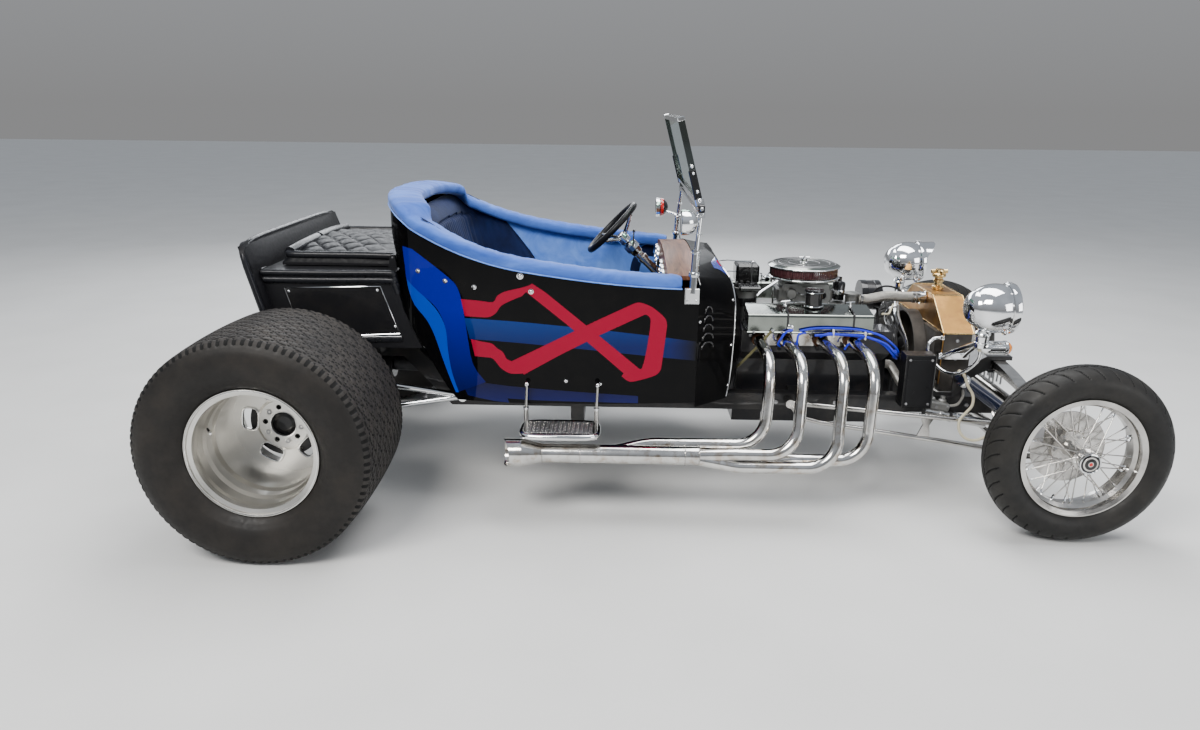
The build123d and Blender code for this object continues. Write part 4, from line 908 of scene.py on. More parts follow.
for x_b, z in L:
    x_d = max(float(np.interp(z, [w[0] for w in WING], [w[1] for w in WING])), x_b + 30)
    R = min(125.0, x_d - x_b - 10)
    line = [(x_b, y) for y in np.linspace(0, wall_y(x_b + 20) - R, 30)]
    c0, c1, c2 = (np.array(q) for q in (line[-1], (x_b + 4, wall_y(x_b + 40)), (x_b + R, wall_y(x_b + R))))
    line += [tuple((1 - t) ** 2 * c0 + 2 * t * (1 - t) * c1 + t * t * c2) for t in np.linspace(0.06, 1, 16)]
    line += [(x, wall_y(x)) for x in np.linspace(x_b + R, x_d, 16)[1:]]
    Q = np.array(line)
    d = np.r_[0, np.cumsum(np.linalg.norm(np.diff(Q, axis=0), axis=1))]
    t = np.linspace(0, d[-1], NH)
    Q = np.c_[np.interp(t, d, Q[:, 0]), np.interp(t, d, Q[:, 1])]
    T2 = np.gradient(Q, axis=0)
    T2 /= np.linalg.norm(T2, axis=1)[:, None]
    half = []
    for k in range(NH):
        arch = 815 + 142 * math.sqrt(max(0.0, 1 - (t[k] / 800.0) ** 2))
        f = 4.0
        if z < arch - 7:
            f = 2.0 + 6.0 * abs(math.sin(math.pi * (t[k] + 17) / 34.0)) ** 0.5
        elif z < arch + 7:
            f = -3.5
        f *= min(1.0, (NH - 1 - k) / 6)
        half.append((Q[k, 0] + T2[k, 1] * f, Q[k, 1] - T2[k, 0] * f, z))
    rows.append([(x, -y, q) for x, y, q in half[:0:-1]] + half)
b = Build("seat_back_looks")
b.grid(rows, NAVY)
b.grid([[(r[0][0] + 2, r[0][1] - 13, r[0][2]) for r in rows], [r[0] for r in rows]], NAVY)
b.grid([[(r[-1][0] + 2, r[-1][1] + 13, r[-1][2]) for r in rows], [r[-1] for r in rows]], NAVY)
b.grid([rows[-1], [(x - 30, y, z - 25) for x, y, z in rows[-1]]], NAVY)
# welts along the wings' edges
for sgn in (-1, 1):
    edge = [r[0] if sgn < 0 else r[-1] for r in rows[4:]]
    b.tube([(x, y - sgn * 1.0, z) for x, y, z in edge], 4.0, NAVY, 8)
o = b.done("chassis", 50, ("seat_back",), recalc=True)

# seat cushion: crowned bench with a rolled front edge, middle seam and fore-and-aft channels
rows = []
NX, NY = 60, 181
for i in range(NX):
    t = i / (NX - 1)
    x = -762 + 424 * t
    half = min(plan_half(x) - 38, 470)
    row = []
    for j in range(NY):
        a = j / (NY - 1) * 2 - 1
        y = half * a
        crown = 9 * (1 - a ** 6) * math.sin(math.pi * min(max(t, 0.02), 0.98)) ** 0.5
        ch = 4.5 * abs(math.sin(math.pi * y / 52.0)) ** 0.5 if 0.08 < t < 0.82 and abs(a) < 0.93 else 1.5
        roll = -46 * max(0.0, (t - 0.86) / 0.14) ** 2.2
        z = 588 + crown + ch + roll - 7 * (abs(a) > 0.985) - (7 if abs(y) < 5 else 0)
        row.append((x, y, z))
    rows.append(row)
b = Build("seat_cushion_looks")
b.grid(rows, NAVY)
b.grid([rows[-1], [(-338, y, 480) for x, y, z in rows[-1]], [(-340, y, 408) for x, y, z in rows[-1]]], NAVY)
low = [[(x, y, 408) for x, y, z in r] for r in rows]
b.grid([[r[0] for r in rows], [r[0] for r in low]], NAVY)
b.grid([[r[-1] for r in rows], [r[-1] for r in low]], NAVY)
b.grid([rows[0], low[0]], NAVY)
b.grid(low, NAVY)
o = b.done("chassis", 60, ("seat_cushion",), recalc=True)

# side panels: navy arch on each lining near the dash, seam welts
SIDE = tree("side_linings")
b = Build("side_panel_trim")


def far_in(u, v, lift):
    p, n = seen(u, v, SIDE, lift)
    if p is None or p[1] < 0:
        d = ray(u, v)
        # behind the near lining: start past it
        o2 = Vector((CAM + d * ((100 - CAM[1]) / d[1])) * 0.001)
        loc, nor, _, _ = SIDE.ray_cast(o2, Vector(d).normalized())
        if loc is None:
            return None
        nor = -nor if nor.dot(Vector(d)) > 0 else nor
        return np.array(loc) * 1000 + np.array(nor) * lift
    return p


rows = []
for j in range(4):
    row = []
    for i in range(33):
        t = math.pi * i / 32
        ru, rv = (20, 30) if j == 3 else (18 - 3 * (2 - j), 27 - 4 * (2 - j))
        ru, rv = 11 + 3 * j, 18 + 4 * j
        row.append(far_in(650 - ru * math.cos(t), 274 - rv * math.sin(t), 1.5 + 2.5 * (j in (1, 2))))
    rows.append(row)
b.grid(rows, NAVY)
b.mirror()
b.done("chassis", 60)

# ------------------------------------------------------------------ trunk: padded vinyl box, screwed side plates, tail board
b = Build("trunk_trim")
HX0, HX1, HY = -1437, -958, 452
# soft double roll along each top edge, turning down in front
for zc, r in ((828, 11), (803, 13)):
    b.tube([(-1428 + (828 - zc) * 0.25, -HY - 3 + r * 0.2, zc), (-1200, -HY - 3 + r * 0.2, zc), (-985, -HY - 3 + r * 0.2, zc + 2),
            (-966, -HY + 1, zc - 8), (-956, -HY + 8, zc - 45)], r, VINYL_SHINE, 12, fine=6)
b.tube([(-1352, -HY - 4, 774), (-1352, -HY - 4, 775), (-1012, -HY - 4, 784), (-960, -HY - 4, 634), (-952, -HY - 4, 614), (-1100, -HY - 4, 606)], 1.6, CHROME, 6)
b.tube([(-1352, -HY - 4, 774), (-1331, -HY - 4, 700), (-1306, -HY - 4, 608)], 1.6, CHROME, 6)
b.tube([(-1306, -HY - 4, 607), (-1100, -HY - 4, 606)], 1.6, CHROME, 6)
b.grid([[(-1350, -HY - 4.2, 772), (-1014, -HY - 4.2, 781)], [(-1305, -HY - 4.2, 609), (-962, -HY - 4.2, 619)]], GLOSS_PLASTIC)
for x, z in ((-1338, 762), (-1024, 770), (-968, 640), (-1300, 622)):
    b.dome((x, -HY - 4, z), (0, -1, 0), 6, 5, CHROME, 12)
b.tube([(-1330, -HY + 2, 590), (-1100, -HY + 2, 592), (-945, -HY + 2, 596)], 14, VINYL_SHINE, 12)
b.tube([(-1110, -HY - 10, 601), (-945, -HY - 10, 605)], 2.6, SATIN, 8)
b.mirror()
# piping round the deck's rear edge
b.tube([(-1436, -440, 836), (-1439, -300, 836), (-1439, 300, 836), (-1436, 440, 836)], 5, VINYL_SHINE, 8)
b.done("chassis", 50)

b = Build("tail_board_cover")
t0 = math.atan2(86, 325)
UP, NO, C0 = np.array((-math.sin(t0), 0, math.cos(t0))), np.array((math.cos(t0), 0, math.sin(t0))), np.array((-1430.0, 0, 768.0))
outline = []
for k in range(64):
    t = 2 * math.pi * k / 64
    c, s = math.cos(t), math.sin(t)
    y, h = 516 * np.sign(c) * abs(c) ** 0.28, 175 * np.sign(s) * abs(s) ** 0.28
    outline.append(C0 + UP * h + np.array((0, y, 0)))
b.tube(outline, 10.5, VINYL_SHINE, 10, closed=True)
for sg in (-1, 1):
    rows = []
    for j in range(15):
        h = -165 + 330 * j / 14
        rows.append([C0 + UP * h + np.array((0, y, 0)) + NO * sg * (10 + 7 * (1 - (y / 505) ** 6) * (1 - (h / 168) ** 6) - (5 if j == 9 else 0))
                     for y in np.linspace(-505, 505, 40)])
    b.grid(rows, VINYL)
b.done("chassis", 50, recalc=True)

# trunk lid: tufted cushion inside a U-shaped roll, with a bolster across the back
b = Build("trunk_lid_looks")
rows = []
for i in range(141):
    x = -1388 + 408 * i / 140
    row = []
    for j in range(151):
        y = -358 + 716 * j / 150
        ax, ay = min(1.0, (x + 1390) / 26, (-978 - x) / 18), min(1.0, (358 - abs(y)) / 20)
        e = max(0.0, min(ax, 1.0)) ** 0.5 * max(0.0, min(ay, 1.0)) ** 0.5
        along = min(1.0, max(0.0, (-1020 - x) / 110)) * min(1.0, max(0.0, (x + 1392) / 40))
        crown = 868 + 30 * along * (1 - (y / 372) ** 2)
        p, q = (x + 0.62 * y) / 84.0, (x - 0.62 * y) / 84.0
        tuft = (abs(math.sin(math.pi * p)) * abs(math.sin(math.pi * q))) ** 0.42
        inside = 1.0 if (-1350 < x < -1010 and abs(y) < 312) else 0.0
        row.append((x, y, 846 + (crown - 846) * e + (8.5 * tuft * inside + (2 if not inside else -5)) * (0.3 + 0.7 * along)))
    rows.append(row)
# tufted top and its buttons in the darker lid vinyl: painted shade
b.grid(rows, LID_VINYL_PAINTED_SHADE)
low = [[(x, y, 839) for x, y, z in r] for r in rows]
for a, c in (([r[0] for r in rows], [r[0] for r in low]), ([r[-1] for r in rows], [r[-1] for r in low]), (rows[0], low[0]), (rows[-1], low[-1])):
    b.grid([a, c], VINYL)
b.grid(low, VINYL)
for i in range(-40, 41):
    for j in range(-40, 41):
        x, y = (i + j) * 42.0, (i - j) * 42.0 / 0.62
        if -1345 < x < -1030 and abs(y) < 305:
            b.dome((x, y, 866 + 30 * min(1.0, max(0.0, (-1020 - x) / 110)) * (1 - (y / 372) ** 2) - 4), (0, 0, 1), 5, 4, LID_VINYL_PAINTED_SHADE, 10)
b.tube([(-990, -343, 872), (-1100, -343, 874), (-1340, -343, 874), (-1372, -330, 876)], 13.5, VINYL_SHINE, 14, fine=5)
b.tube([(-990, 343, 872), (-1100, 343, 874), (-1340, 343, 874), (-1372, 330, 876)], 13.5, VINYL_SHINE, 14, fine=5)
b.tube([(-1368, -330, 880), (-1362, -220, 888), (-1358, -60, 893)], 20, VINYL_SHINE, 16, fine=6)
b.tube([(-1358, -40, 893), (-1360, 120, 892), (-1366, 330, 880)], 20, VINYL_SHINE, 16, fine=6)
b.rbox((-1358, -50, 884), (46, 14, 34), 6, PLASTIC)
b.tube([(-984, -379, 874), (-984, 379, 874)], 3.5, SATIN, 8)
o = b.done("trunk_lid", 50, ("trunk_lid",), recalc=True)

# ------------------------------------------------------------------ dash gauges, steering wheel and column
b = Build("dash_gauges")
for y, z, r in ((-330, 782, 27), (-255, 790, 27), (-180, 795, 27), (200, 796, 38), (340, 784, 38), (-90, 800, 27)):
    c = (-6.5, y, z)
    b.lathe([(r + 4, 0), (r + 5, -5), (r + 3, -12), (r, -13), (r - 1, -9)], c, (1, 0, 0), CHROME, 32)
    b.lathe([(r - 1, -8.5), (0, -8.5)], c, (1, 0, 0), WHITE_DIAL, 32)
    b.tube([(-15.6, y, z), (-15.6, y + 0.35 * r, z + 0.6 * r)], 0.9, RED_LENS, 5)
    b.dome((-15, y, z), (-1, 0, 0), 3, 2, GLOSS_PLASTIC, 10)
for y in (-20, 20, 60):
    b.lathe([(7, 0), (7, -3), (4, -4), (3.2, -16), (4.5, -18), (0, -19)], (-6.5, y, 770), (1, 0, 0), CHROME, 14)
b.done("chassis")

CS, SN = math.cos(math.radians(44)), math.sin(math.radians(44))
WC = np.array((-208.0, 290.0, 902.0))
WX, WY, WZ = np.array((SN, 0, CS)), np.array((0, 1.0, 0)), np.array((-CS, 0, SN))
b = Build("steering_wheel_trim")
ring = []
for k in range(144):
    t = 2 * math.pi * k / 144
    ring.append(WC + 131 * (math.cos(t) * WX + math.sin(t) * WY))
b.tube(ring, 13.2, VINYL, 14, closed=True)
for k in range(3):
    a = math.radians(120 * k)
    d = math.cos(a) * WX + math.sin(a) * WY
    sid = np.cross(WZ, d)
    p, q = WC - WZ * 58 + d * 22, WC - WZ * 2 + d * 122
    b.tube([p, q], 7.2, CHROME, 10)
    for f in (0.3, 0.5, 0.7):
        b.lathe([(4.2, -7.6), (4.2, 7.6)], p + (q - p) * f, unit(np.cross(q - p, sid)), GLOSS_PLASTIC, 12)
b.lathe([(25, -88), (25.5, -84), (25.5, -56), (22, -47), (14, -44), (0, -43)], WC, WZ, CHROME, 32)
b.lathe([(15, -44.5), (13, -41), (0, -40)], WC, WZ, GLOSS_PLASTIC, 24)
for k in range(6):
    t = math.radians(60 * k + 30)
    b.dome(WC - WZ * 47 + 19 * (math.cos(t) * WX + math.sin(t) * WY), WZ, 2.6, 2, SATIN, 8)
b.done("steering_wheel")


def col(d):
    return WC - WZ * d


b = Build("column_trim")
b.lathe([(20, 0), (30, 2), (32, 8), (32, 34), (27, 40), (25, 58), (20.5, 62)], col(98), -WZ, CHROME, 32)
b.lathe([(19.5, 0), (23, 2), (23, 20), (19.5, 22)], col(178), -WZ, CHROME_WORN, 28)
b.rbox(col(120) + np.array((0, -34, 0)), (22, 10, 30), 3, CHROME_WORN, (WX, WY, WZ))
b.tube([col(118) + np.array((4, -30, 0)), col(110) + np.array((12, -46, 26)), col(100) + np.array((20, -62, 62))], 3.4, SATIN, 8, fine=5)
b.dome(col(100) + np.array((20, -62, 62)), (0.3, -0.2, 1), 6, 9, GLOSS_PLASTIC, 12)
b.done("chassis")

# ------------------------------------------------------------------ windshield: hinge clamps, mirrors
b = Build("windshield_clamps")
K0, KD = np.array((97.0, 0, 1071.0)), unit((18 - 97.0, 0, 1366 - 1071.0))
for e in (-1, 1):
    for d, r in ((26, 9), (56, 7), (118, 6), (142, 7.5)):
        b.dome(K0 + KD * d + np.array((0, e * 475, 0)), (0, e, 0), r, 9, CHROME, 16)
    c = K0 + KD * 70 + np.array((-2, e * 474, 0))
    b.rbox(c, (26, 8, 120), 3, GLOSS_PLASTIC, (np.cross((0, 1, 0), KD), (0, 1, 0), KD))
    b.rbox(K0 + KD * 20 + np.array((0, e * 474, 0)), (30, 10, 26), 3, CHROME, (np.cross((0, 1, 0), KD), (0, 1, 0), KD))
    # corner cap on top
    b.rbox(K0 + KD * 299 + np.array((0, e * 470, 0)), (25, 14, 16), 3, CHROME, (np.cross((0, 1, 0), KD), (0, 1, 0), KD))
b.done("windshield")

b = Build("mirror_trim")
for (x, y, z), shell in (((36, -552, 1032), False), ((-4, 560, 960), True)):
    c = np.array((x, y, z), float)
    b.lathe([(38, -9.5), (41.5, -8), (41.5, 0), (40.5, 8)], c, (1, 0, 0), CHROME, 40)
    b.lathe([(37.5, -8.6), (0, -8.6)], c, (1, 0, 0), MIRROR, 40)
    b.lathe([(40.6, 8), (39.5, 16), (34, 30), (22, 41), (8, 46), (0, 46.5)], c, (1, 0, 0), GLOSS_PLASTIC if shell else CHROME, 36)
    if shell:
        b.lathe([(40.4, 12), (41, 15), (37.6, 25), (36.4, 25.2)], c, (1, 0, 0), RED_LENS, 36)
b.done("chassis")

# ------------------------------------------------------------------ engine dress-up
b = Build("air_cleaner_trim")
AX = (557, 0, 0)
b.lathe([(130.4, 765), (131, 766), (131, 794), (130.4, 795)], AX, (0, 0, 1), FILTER, 96)
for k in range(96):
    t = 2 * math.pi * k / 96
    b.tube([(557 + 131.6 * math.cos(t), 131.6 * math.sin(t), 765), (557 + 131.6 * math.cos(t), 131.6 * math.sin(t), 795)], 0.9, CHROME, 4)
b.ringt((557, 0, 800.5), (0, 0, 1), 138.5, 3.4, CHROME, 96, 10)
b.ringt((557, 0, 758), (0, 0, 1), 135.5, 4.0, CHROME, 96, 10)
for r in (60, 100, 122):
    b.ringt((557, 0, 811), (0, 0, 1), r, 1.4, SATIN, 80, 8)
b.lathe([(16, 811), (15, 815), (8, 818), (5, 824), (5, 836), (0, 838)], AX, (0, 0, 1), CHROME, 20)
for s in (-1, 1):
    b.rbox((557 + s * 13, 0, 829), (18, 3.5, 11), 1.4, CHROME)
b.done("chassis")

b = Build("carburettor_trim")
b.rbox((558, 0, 646), (150, 136, 10), 3, CAST_ALLOY)
b.rbox((558, 0, 690), (120, 122, 70), 8, CAST_ALLOY)
for s in (-1, 1):
    b.rbox((558 + s * 84, 0, 690), (52, 104, 56), 9, CAST_ALLOY)
    for dy in (-42, 42):
        for dz in (-20, 20):
            b.hexb((558 + s * 110, dy, 690 + dz), (s, 0, 0), 5, 5, SATIN)
    b.tube([(558 + s * 100, 30 * s, 672), (558 + s * 124, 50 * s, 664), (558 + s * 126, 90 * s, 640), (558 + s * 110, 120 * s, 622)], 4.5, SATIN, 8, fine=5)
b.lathe([(64, 722), (66, 727), (66, 746), (60, 752)], (560, 0, 0), (0, 0, 1), CAST_ALLOY, 40)
for x in (512, 604):
    b.rbox((x, -68, 664), (14, 10, 22), 2, SATIN)
    b.hexb((x, -73, 664), (0, -1, 0), 5, 5, CHROME)
b.tube([(470, -76, 662), (540, -78, 668), (640, -76, 660)], 3.2, CHROME, 8)
b.tube([(640, -76, 660), (700, -90, 640), (716, -96, 612)], 3.2, CHROME, 8, fine=4)
b.tube([(430, -72, 640), (426, -74, 735), (424, -72, 752)], 3.0, CHROME, 8)
b.rbox((600, -72, 692), (10, 8, 46), 2, SATIN)
sp = []
for i in range(180):
    t = i / 179
    sp.append((520 + 70 * t, -84 + 4 * math.cos(44 * math.pi * t), 704 + 4 * math.sin(44 * math.pi * t) - 14 * t))
b.tube(sp, 0.9, CHROME, 5)
# vacuum chamber and choke housing
b.lathe([(0, 0), (18, 1), (22, 8), (22, 20), (17, 27), (0, 28)], (500, -62, 700), (0, -1, 0), CAST_ALLOY, 24)
b.lathe([(0, 0), (15, 1), (17, 6), (15, 14), (0, 15)], (622, -62, 694), (0, -1, 0), GLOSS_PLASTIC, 24)
# rod from the filter's rim down to the rear left
b.tube([(436, -118, 757), (372, -150, 724), (352, -160, 708)], 4.5, CHROME, 8)
# rear black housings beside the cowl
b.rbox((352, 150, 742), (96, 110, 82), 10, GLOSS_PLASTIC)
b.rbox((340, -40, 716), (86, 90, 18), 5, GLOSS_PLASTIC)
# thermostat neck and ignition coil in front
b.lathe([(26, 0), (26, 16), (31, 18), (31, 26), (22, 30), (0, 30)], (752, -15, 668), (0, 0, 1), CAST_ALLOY, 28)
b.lathe([(0, 0), (24, 1), (26, 6), (26, 70), (22, 76), (9, 80), (9, 96), (0, 97)], (716, 70, 646), (0.1, 0.15, 1), GLOSS_PLASTIC, 28)
b.lathe([(27, 24), (27.6, 26), (27.6, 40), (27, 42)], (716, 70, 646), (0.1, 0.15, 1), CHROME, 28)
b.done("chassis")

b = Build("valve_cover_trim")
for e in (-1, 1):
    # cover rail in the darkened chrome: painted dark reflection
    b.rbox((527.5, e * 262, 607.5), (466, 152, 7), 2.5, CHROME_DARK_REFLECTION)
    for x in (321, 424, 527, 631, 734):
        b.hexb((x, e * 338, 606), (0, 0, 1), 5.5, 8, SATIN)
    # hold-down rods with tee handles
    for x in (444, 684):
        b.rbox((x, e * 334.6, 646), (7, 3, 66), 1, GLOSS_PLASTIC)
        b.tube([(x, e * 334, 676), (x, e * 322, 681), (x, e * 262, 691)], 3.2, GLOSS_PLASTIC, 8)
        b.lathe([(7, 0), (7, 8), (4, 10), (4, 22), (0, 23)], (x, e * 262, 688), (0, 0, 1), CHROME, 14)
        b.tube([(x - 16, e * 262, 706), (x + 16, e * 262, 710)], 3.6, CHROME, 8)
    b.lathe([(12, 0), (12, 3), (9, 5), (0, 5)], (454, e * 332.4, 626), (0, e, 0), CHROME, 20)
# oil filler can on the right cover
b.lathe([(36, 0), (36, 5), (31, 7), (31, 52), (35, 54), (36, 60), (34, 66), (10, 68), (0, 68)], (552, -242, 686), (0, 0, 1), GLOSS_PLASTIC, 40)
b.ringt((552, -242, 691), (0, 0, 1), 35, 2.6, CHROME, 40, 8)
b.ringt((552, -242, 742), (0, 0, 1), 34.5, 1.8, CHROME, 40, 8)
b.lathe([(20, 0), (24, 3), (24, 20), (20, 24), (0, 25)], (470, 250, 686), (0, 0, 1), CHROME, 28)
b.done("chassis")

b = Build("ignition_parts")
b.lathe([(53, 640.5), (53, 668), (49, 690), (40, 712), (0, 713)], (325, 0, 0), (0, 0, 1), GLOSS_PLASTIC, 40)
for k in range(8):
    t = math.radians(45 * k + 10)
    b.lathe([(7.5, 0), (7, 20), (5, 22), (0, 22)], (325 + 34 * math.cos(t), 34 * math.sin(t), 706), (0, 0, 1), RUBBER, 10)
# blue plug leads along the exhaust side, held by two white separators
for s in (-1, 1):
    F = [(412, 616), (488, 621), (608, 619), (728, 610), (781, 584), (805, 566)]
    main = [[(488, 613), (540, 622), (608, 620), (690, 618), (740, 612), (790, 596), (835, 560)],
            [(560, 598), (592, 612), (640, 611), (700, 608), (744, 600), (792, 580), (835, 545)],
            [(655, 552), (668, 572), (702, 588), (728, 596), (752, 590), (796, 568), (835, 532)],
            [(540, 616), (600, 616), (660, 614), (710, 613), (748, 604), (800, 588), (838, 552)]]
    for k, pts in enumerate(main):
        P = [np.array((x, s * (344 + 6 * (k % 2) + 2 * k), z + (7, -3, 0, -9)[k] + 3 * math.sin(x / 45 + 1.9 * k))) for x, z in pts]
        P.append(np.array((862, s * (318 - 8 * k), pts[-1][1] - 26)))
        P.append(np.array((872, s * (240 - 6 * k), pts[-1][1] - 40)))
        b.tube(P, 4.0, BLUE_WIRE, 8, fine=6)
    for x0, z0, x1, z1 in ((436, 612, 412, 566), (484, 604, 482, 556)):
        b.tube([(x0 + 26, s * 340, z0 + 6), (x0, s * 348, z0), ((x0 + x1) / 2 - 4, s * 352, (z0 + z1) / 2), (x1, s * 342, z1), (x1 + 10, s * 330, z1 - 12)],
               4.2, BLUE_WIRE, 8, fine=6)
    for x in (424, 496, 566, 664):
        b.lathe([(8.5, 0), (8.5, 20), (6, 24), (5, 34), (0, 34)], (x, s * 304, 540), (0.05, s * 1.0, 0.35), RUBBER, 12)
    for x, z in ((608, 612), (724, 604)):
        b.rbox((x, s * 351, z), (6, 18, 30), 2, WHITE_CLIP)
# dipstick tube
b.tube([(386, -338, 614), (340, -346, 560), (283, -338, 492), (268, -318, 470)], 5.2, OLIVE, 8, fine=5)
b.lathe([(8, 0), (8, 8), (5, 10), (0, 10)], (386, -338, 614), (0.6, 0, 0.75), CHROME, 12)
b.done("chassis")

b = Build("exhaust_trim")
for e in (-1, 1):
    for x in (345, 440, 572, 685):
        b.lathe([(22, 0), (27, 2), (28, 10), (26, 24), (22.4, 30)], (x + 2, e * 293, 573.5), (0.08, e, -0.04), RUST, 28)
        for dx, dz in ((-30, 14), (30, -14)):
            b.hexb((x + dx, e * 293, 574 + dz), (0, e, 0), 7, 9, SATIN)
    for x, r in ((60, 34.5), (108, 34.2), (-300, 33.6)):
        b.ringt((x, e * 655, 248.5), (1, 0, 0), r - 1, 2.2, CHROME_WORN, 40, 8)
    b.ringt((-430, e * 655, 248.5), (1, 0, 0), 33.5, 2.0, CHROME_WORN, 40, 8)
b.done("chassis", 50)

# ------------------------------------------------------------------ drive belts, fan boss, alternator
b = Build("belts_and_alternator")


def belt(circles, x):
    pts = []
    for cy, cz, r in circles:
        pts += [(cy + r * math.cos(t), cz + r * math.sin(t)) for t in np.linspace(0, 2 * math.pi, 48, endpoint=False)]
    pts = sorted(pts)
    hull = []
    for seq in (pts, pts[::-1]):
        part = []
        for p in seq:
            while len(part) > 1 and (part[-1][0] - part[-2][0]) * (p[1] - part[-2][1]) - (part[-1][1] - part[-2][1]) * (p[0] - part[-2][0]) <= 0:
                part.pop()
            part.append(p)
        hull += part[:-1]
    b.tube([(x, y, z) for y, z in hull], 5.5, RUBBER, 8, closed=True)


belt([(0, 470, 86), (0, 300, 88)], 914)
belt([(0, 470, 84), (0, 300, 86), (215, 640, 34)], 930)
b.lathe([(63, 842), (63.5, 846), (63.5, 866), (58, 870), (58, 896), (63.5, 900), (63.5, 922), (56, 926), (30, 927)], (0, 215, 640), (1, 0, 0), GLOSS_PLASTIC, 40)
for k in range(18):
    t = math.radians(20 * k)
    b.rbox((924, 215 + 46 * math.cos(t), 640 + 46 * math.sin(t)), (6, 4, 20), 1, SATIN, ((1, 0, 0), (0, -math.sin(t), math.cos(t)), (0, math.cos(t), math.sin(t))))
b.lathe([(40, 936), (40, 940), (12, 942), (12, 950), (0, 950)], (0, 215, 640), (1, 0, 0), SATIN, 28)
b.lathe([(70, 950), (66, 955), (30, 958), (26, 966), (0, 967)], (0, 0, 470), (1, 0, 0), CHROME_WORN, 36)
for k in range(4):
    t = math.radians(90 * k + 45)
    b.hexb((957, 18 * math.cos(t), 470 + 18 * math.sin(t)), (1, 0, 0), 6, 8, SATIN)
b.done("chassis", 50)

# ------------------------------------------------------------------ radiator, tank, hoses
b = Build("radiator_trim")
T0, T1 = 597.0, 710.0
for x in (1037, 1149):
    b.tube([(x, -272, T0), (x, -120, T1), (x, 120, T1), (x, 272, T0)], 2.3, BRASS_BRIGHT, 8)
    b.tube([(x, -272, T0 + 1), (x, 272, T0 + 1)], 2.3, BRASS_BRIGHT, 8)
for y, z in ((-272, T0), (-120, T1), (120, T1), (272, T0)):
    b.tube([(1037, y, z), (1149, y, z)], 2.3, BRASS_BRIGHT, 8)
b.lathe([(15.6, 700), (17, 702), (17, 712), (22, 714), (22, 724), (16, 728), (15.6, 742), (20, 744), (20, 750), (16, 753), (16, 760)], (1093, 0, 0), (0, 0, 1), BRASS_BRIGHT, 32)
b.lathe([(25.4, 762), (26.4, 765), (26.4, 771), (24, 775), (17, 778), (17, 790), (12, 793), (0, 793)], (1093, 0, 0), (0, 0, 1), BRASS_BRIGHT, 32)
for s in (-1, 1):
    b.rbox((1093 + s * 24, 0, 783), (20, 9, 16), 3, BRASS_BRIGHT)
    b.rbox((1093, s * 24, 783), (9, 20, 16), 3, BRASS_BRIGHT)
b.lathe([(25, 0), (25, 4), (22.5, 6), (22.5, 20), (25, 22)], (1012, -32, 684), (1, 0, 0), CHROME, 28)
for c, ax, r in (((1006, -32, 684), (1, 0, 0), 21), ((990, -32.4, 684), (1, 0, 0), 21), ((790, -15, 668), (1, 0, 0), 21), ((1030, -225, 386), (1, 0, 0), 18)):
    b.lathe([(r, -6), (r + 1.8, -5), (r + 1.8, 5), (r, 6)], c, ax, CHROME_WORN, 28)
    b.rbox(np.array(c) + np.array((0, -r * 0.7, r * 0.85)), (10, 14, 8), 2, SATIN)
# core fins' frame and side seams
for e in (-1, 1):
    b.tube([(1037, e * 273, 596), (1037, e * 273, 402)], 2.2, BRASS, 6)
    for z in (430, 500, 570):
        b.hexb((1090, e * 272, z), (0, e, 0), 6, 6, SATIN)
# white lead and bright stay beside the shroud
b.tube([(808, -250, 664), (836, -236, 662), (850, -215, 676), (862, -200, 690)], 3.6, CREAM_HOSE, 8, fine=5)
b.tube([(879, -200, 688), (885, -205, 640), (919, -210, 560), (930, -215, 500)], 6.0, CHROME_WORN, 10, fine=4)
b.tube([(862, -180, 676), (882, -190, 612), (905, -235, 560), (925, -268, 470)], 4.2, RUBBER, 8, fine=5)
b.tube([(846, 100, 640), (880, 60, 702), (940, 60, 704), (1004, 90, 660), (1036, 110, 640)], 4.2, RUBBER, 8, fine=5)
b.done("chassis")

# ------------------------------------------------------------------ lamps
b = Build("lamp_trim")
for e in (-1, 1):
    c = (0, e * 480, 742)
    b.lathe([(84, 1152), (87.6, 1155), (88.4, 1160), (88.4, 1173), (86, 1179), (80.5, 1180), (79.8, 1177)], c, (1, 0, 0), CHROME, 64)
    b.rbox((1166, e * 480, 742 - 90), (14, 10, 10), 2, CHROME)
    b.rbox((1160, e * 480, 742 + 89), (16, 8, 6), 1.5, CHROME)
    b.lathe([(60, 1150), (52, 1120), (30, 1092), (0, 1080)], c, (1, 0, 0), CHROME, 48)
    b.lathe([(9, 1082), (10, 1110), (8, 1124), (0, 1128)], c, (1, 0, 0), WHITE_DIAL, 16)
    b.lathe([(15.5, 0), (24, 3), (27, 10), (24, 17), (16, 22)], (1092, e * 480, 642), (0, 0, 1), CHROME, 32)
    b.lathe([(22.4, 0), (25, 2), (25, 8), (22.4, 10)], (1092, e * 480, 612), (0, 0, 1), CHROME, 32)
    b.lathe([(9, -14), (11, -12), (11, 0), (8, 2)], (1092, e * 480, 601.5), (0, 0, 1), CREAM_HOSE, 8)
    b.lathe([(25.5, 0), (26.5, 3), (26.5, 10), (23, 12), (19, 22), (8, 30), (0, 31)], (1168, e * 480, 600), (1, 0, 0), CHROME, 32)
    b.lathe([(22.6, 12), (20, 19), (12, 26), (0, 29)], (1170, e * 480, 600), (1, 0, 0), AMBER, 28)
    b.lathe([(25.2, 0), (22, 14), (13, 26), (5, 31), (0, 31.5)], (1116, e * 480, 600), (-1, 0, 0), CHROME, 32)
    b.lathe([(10, 0), (10, 10), (7, 12)], (1041, e * 267, 580), (-1, 0, 0), CHROME, 16)
b.done("chassis")

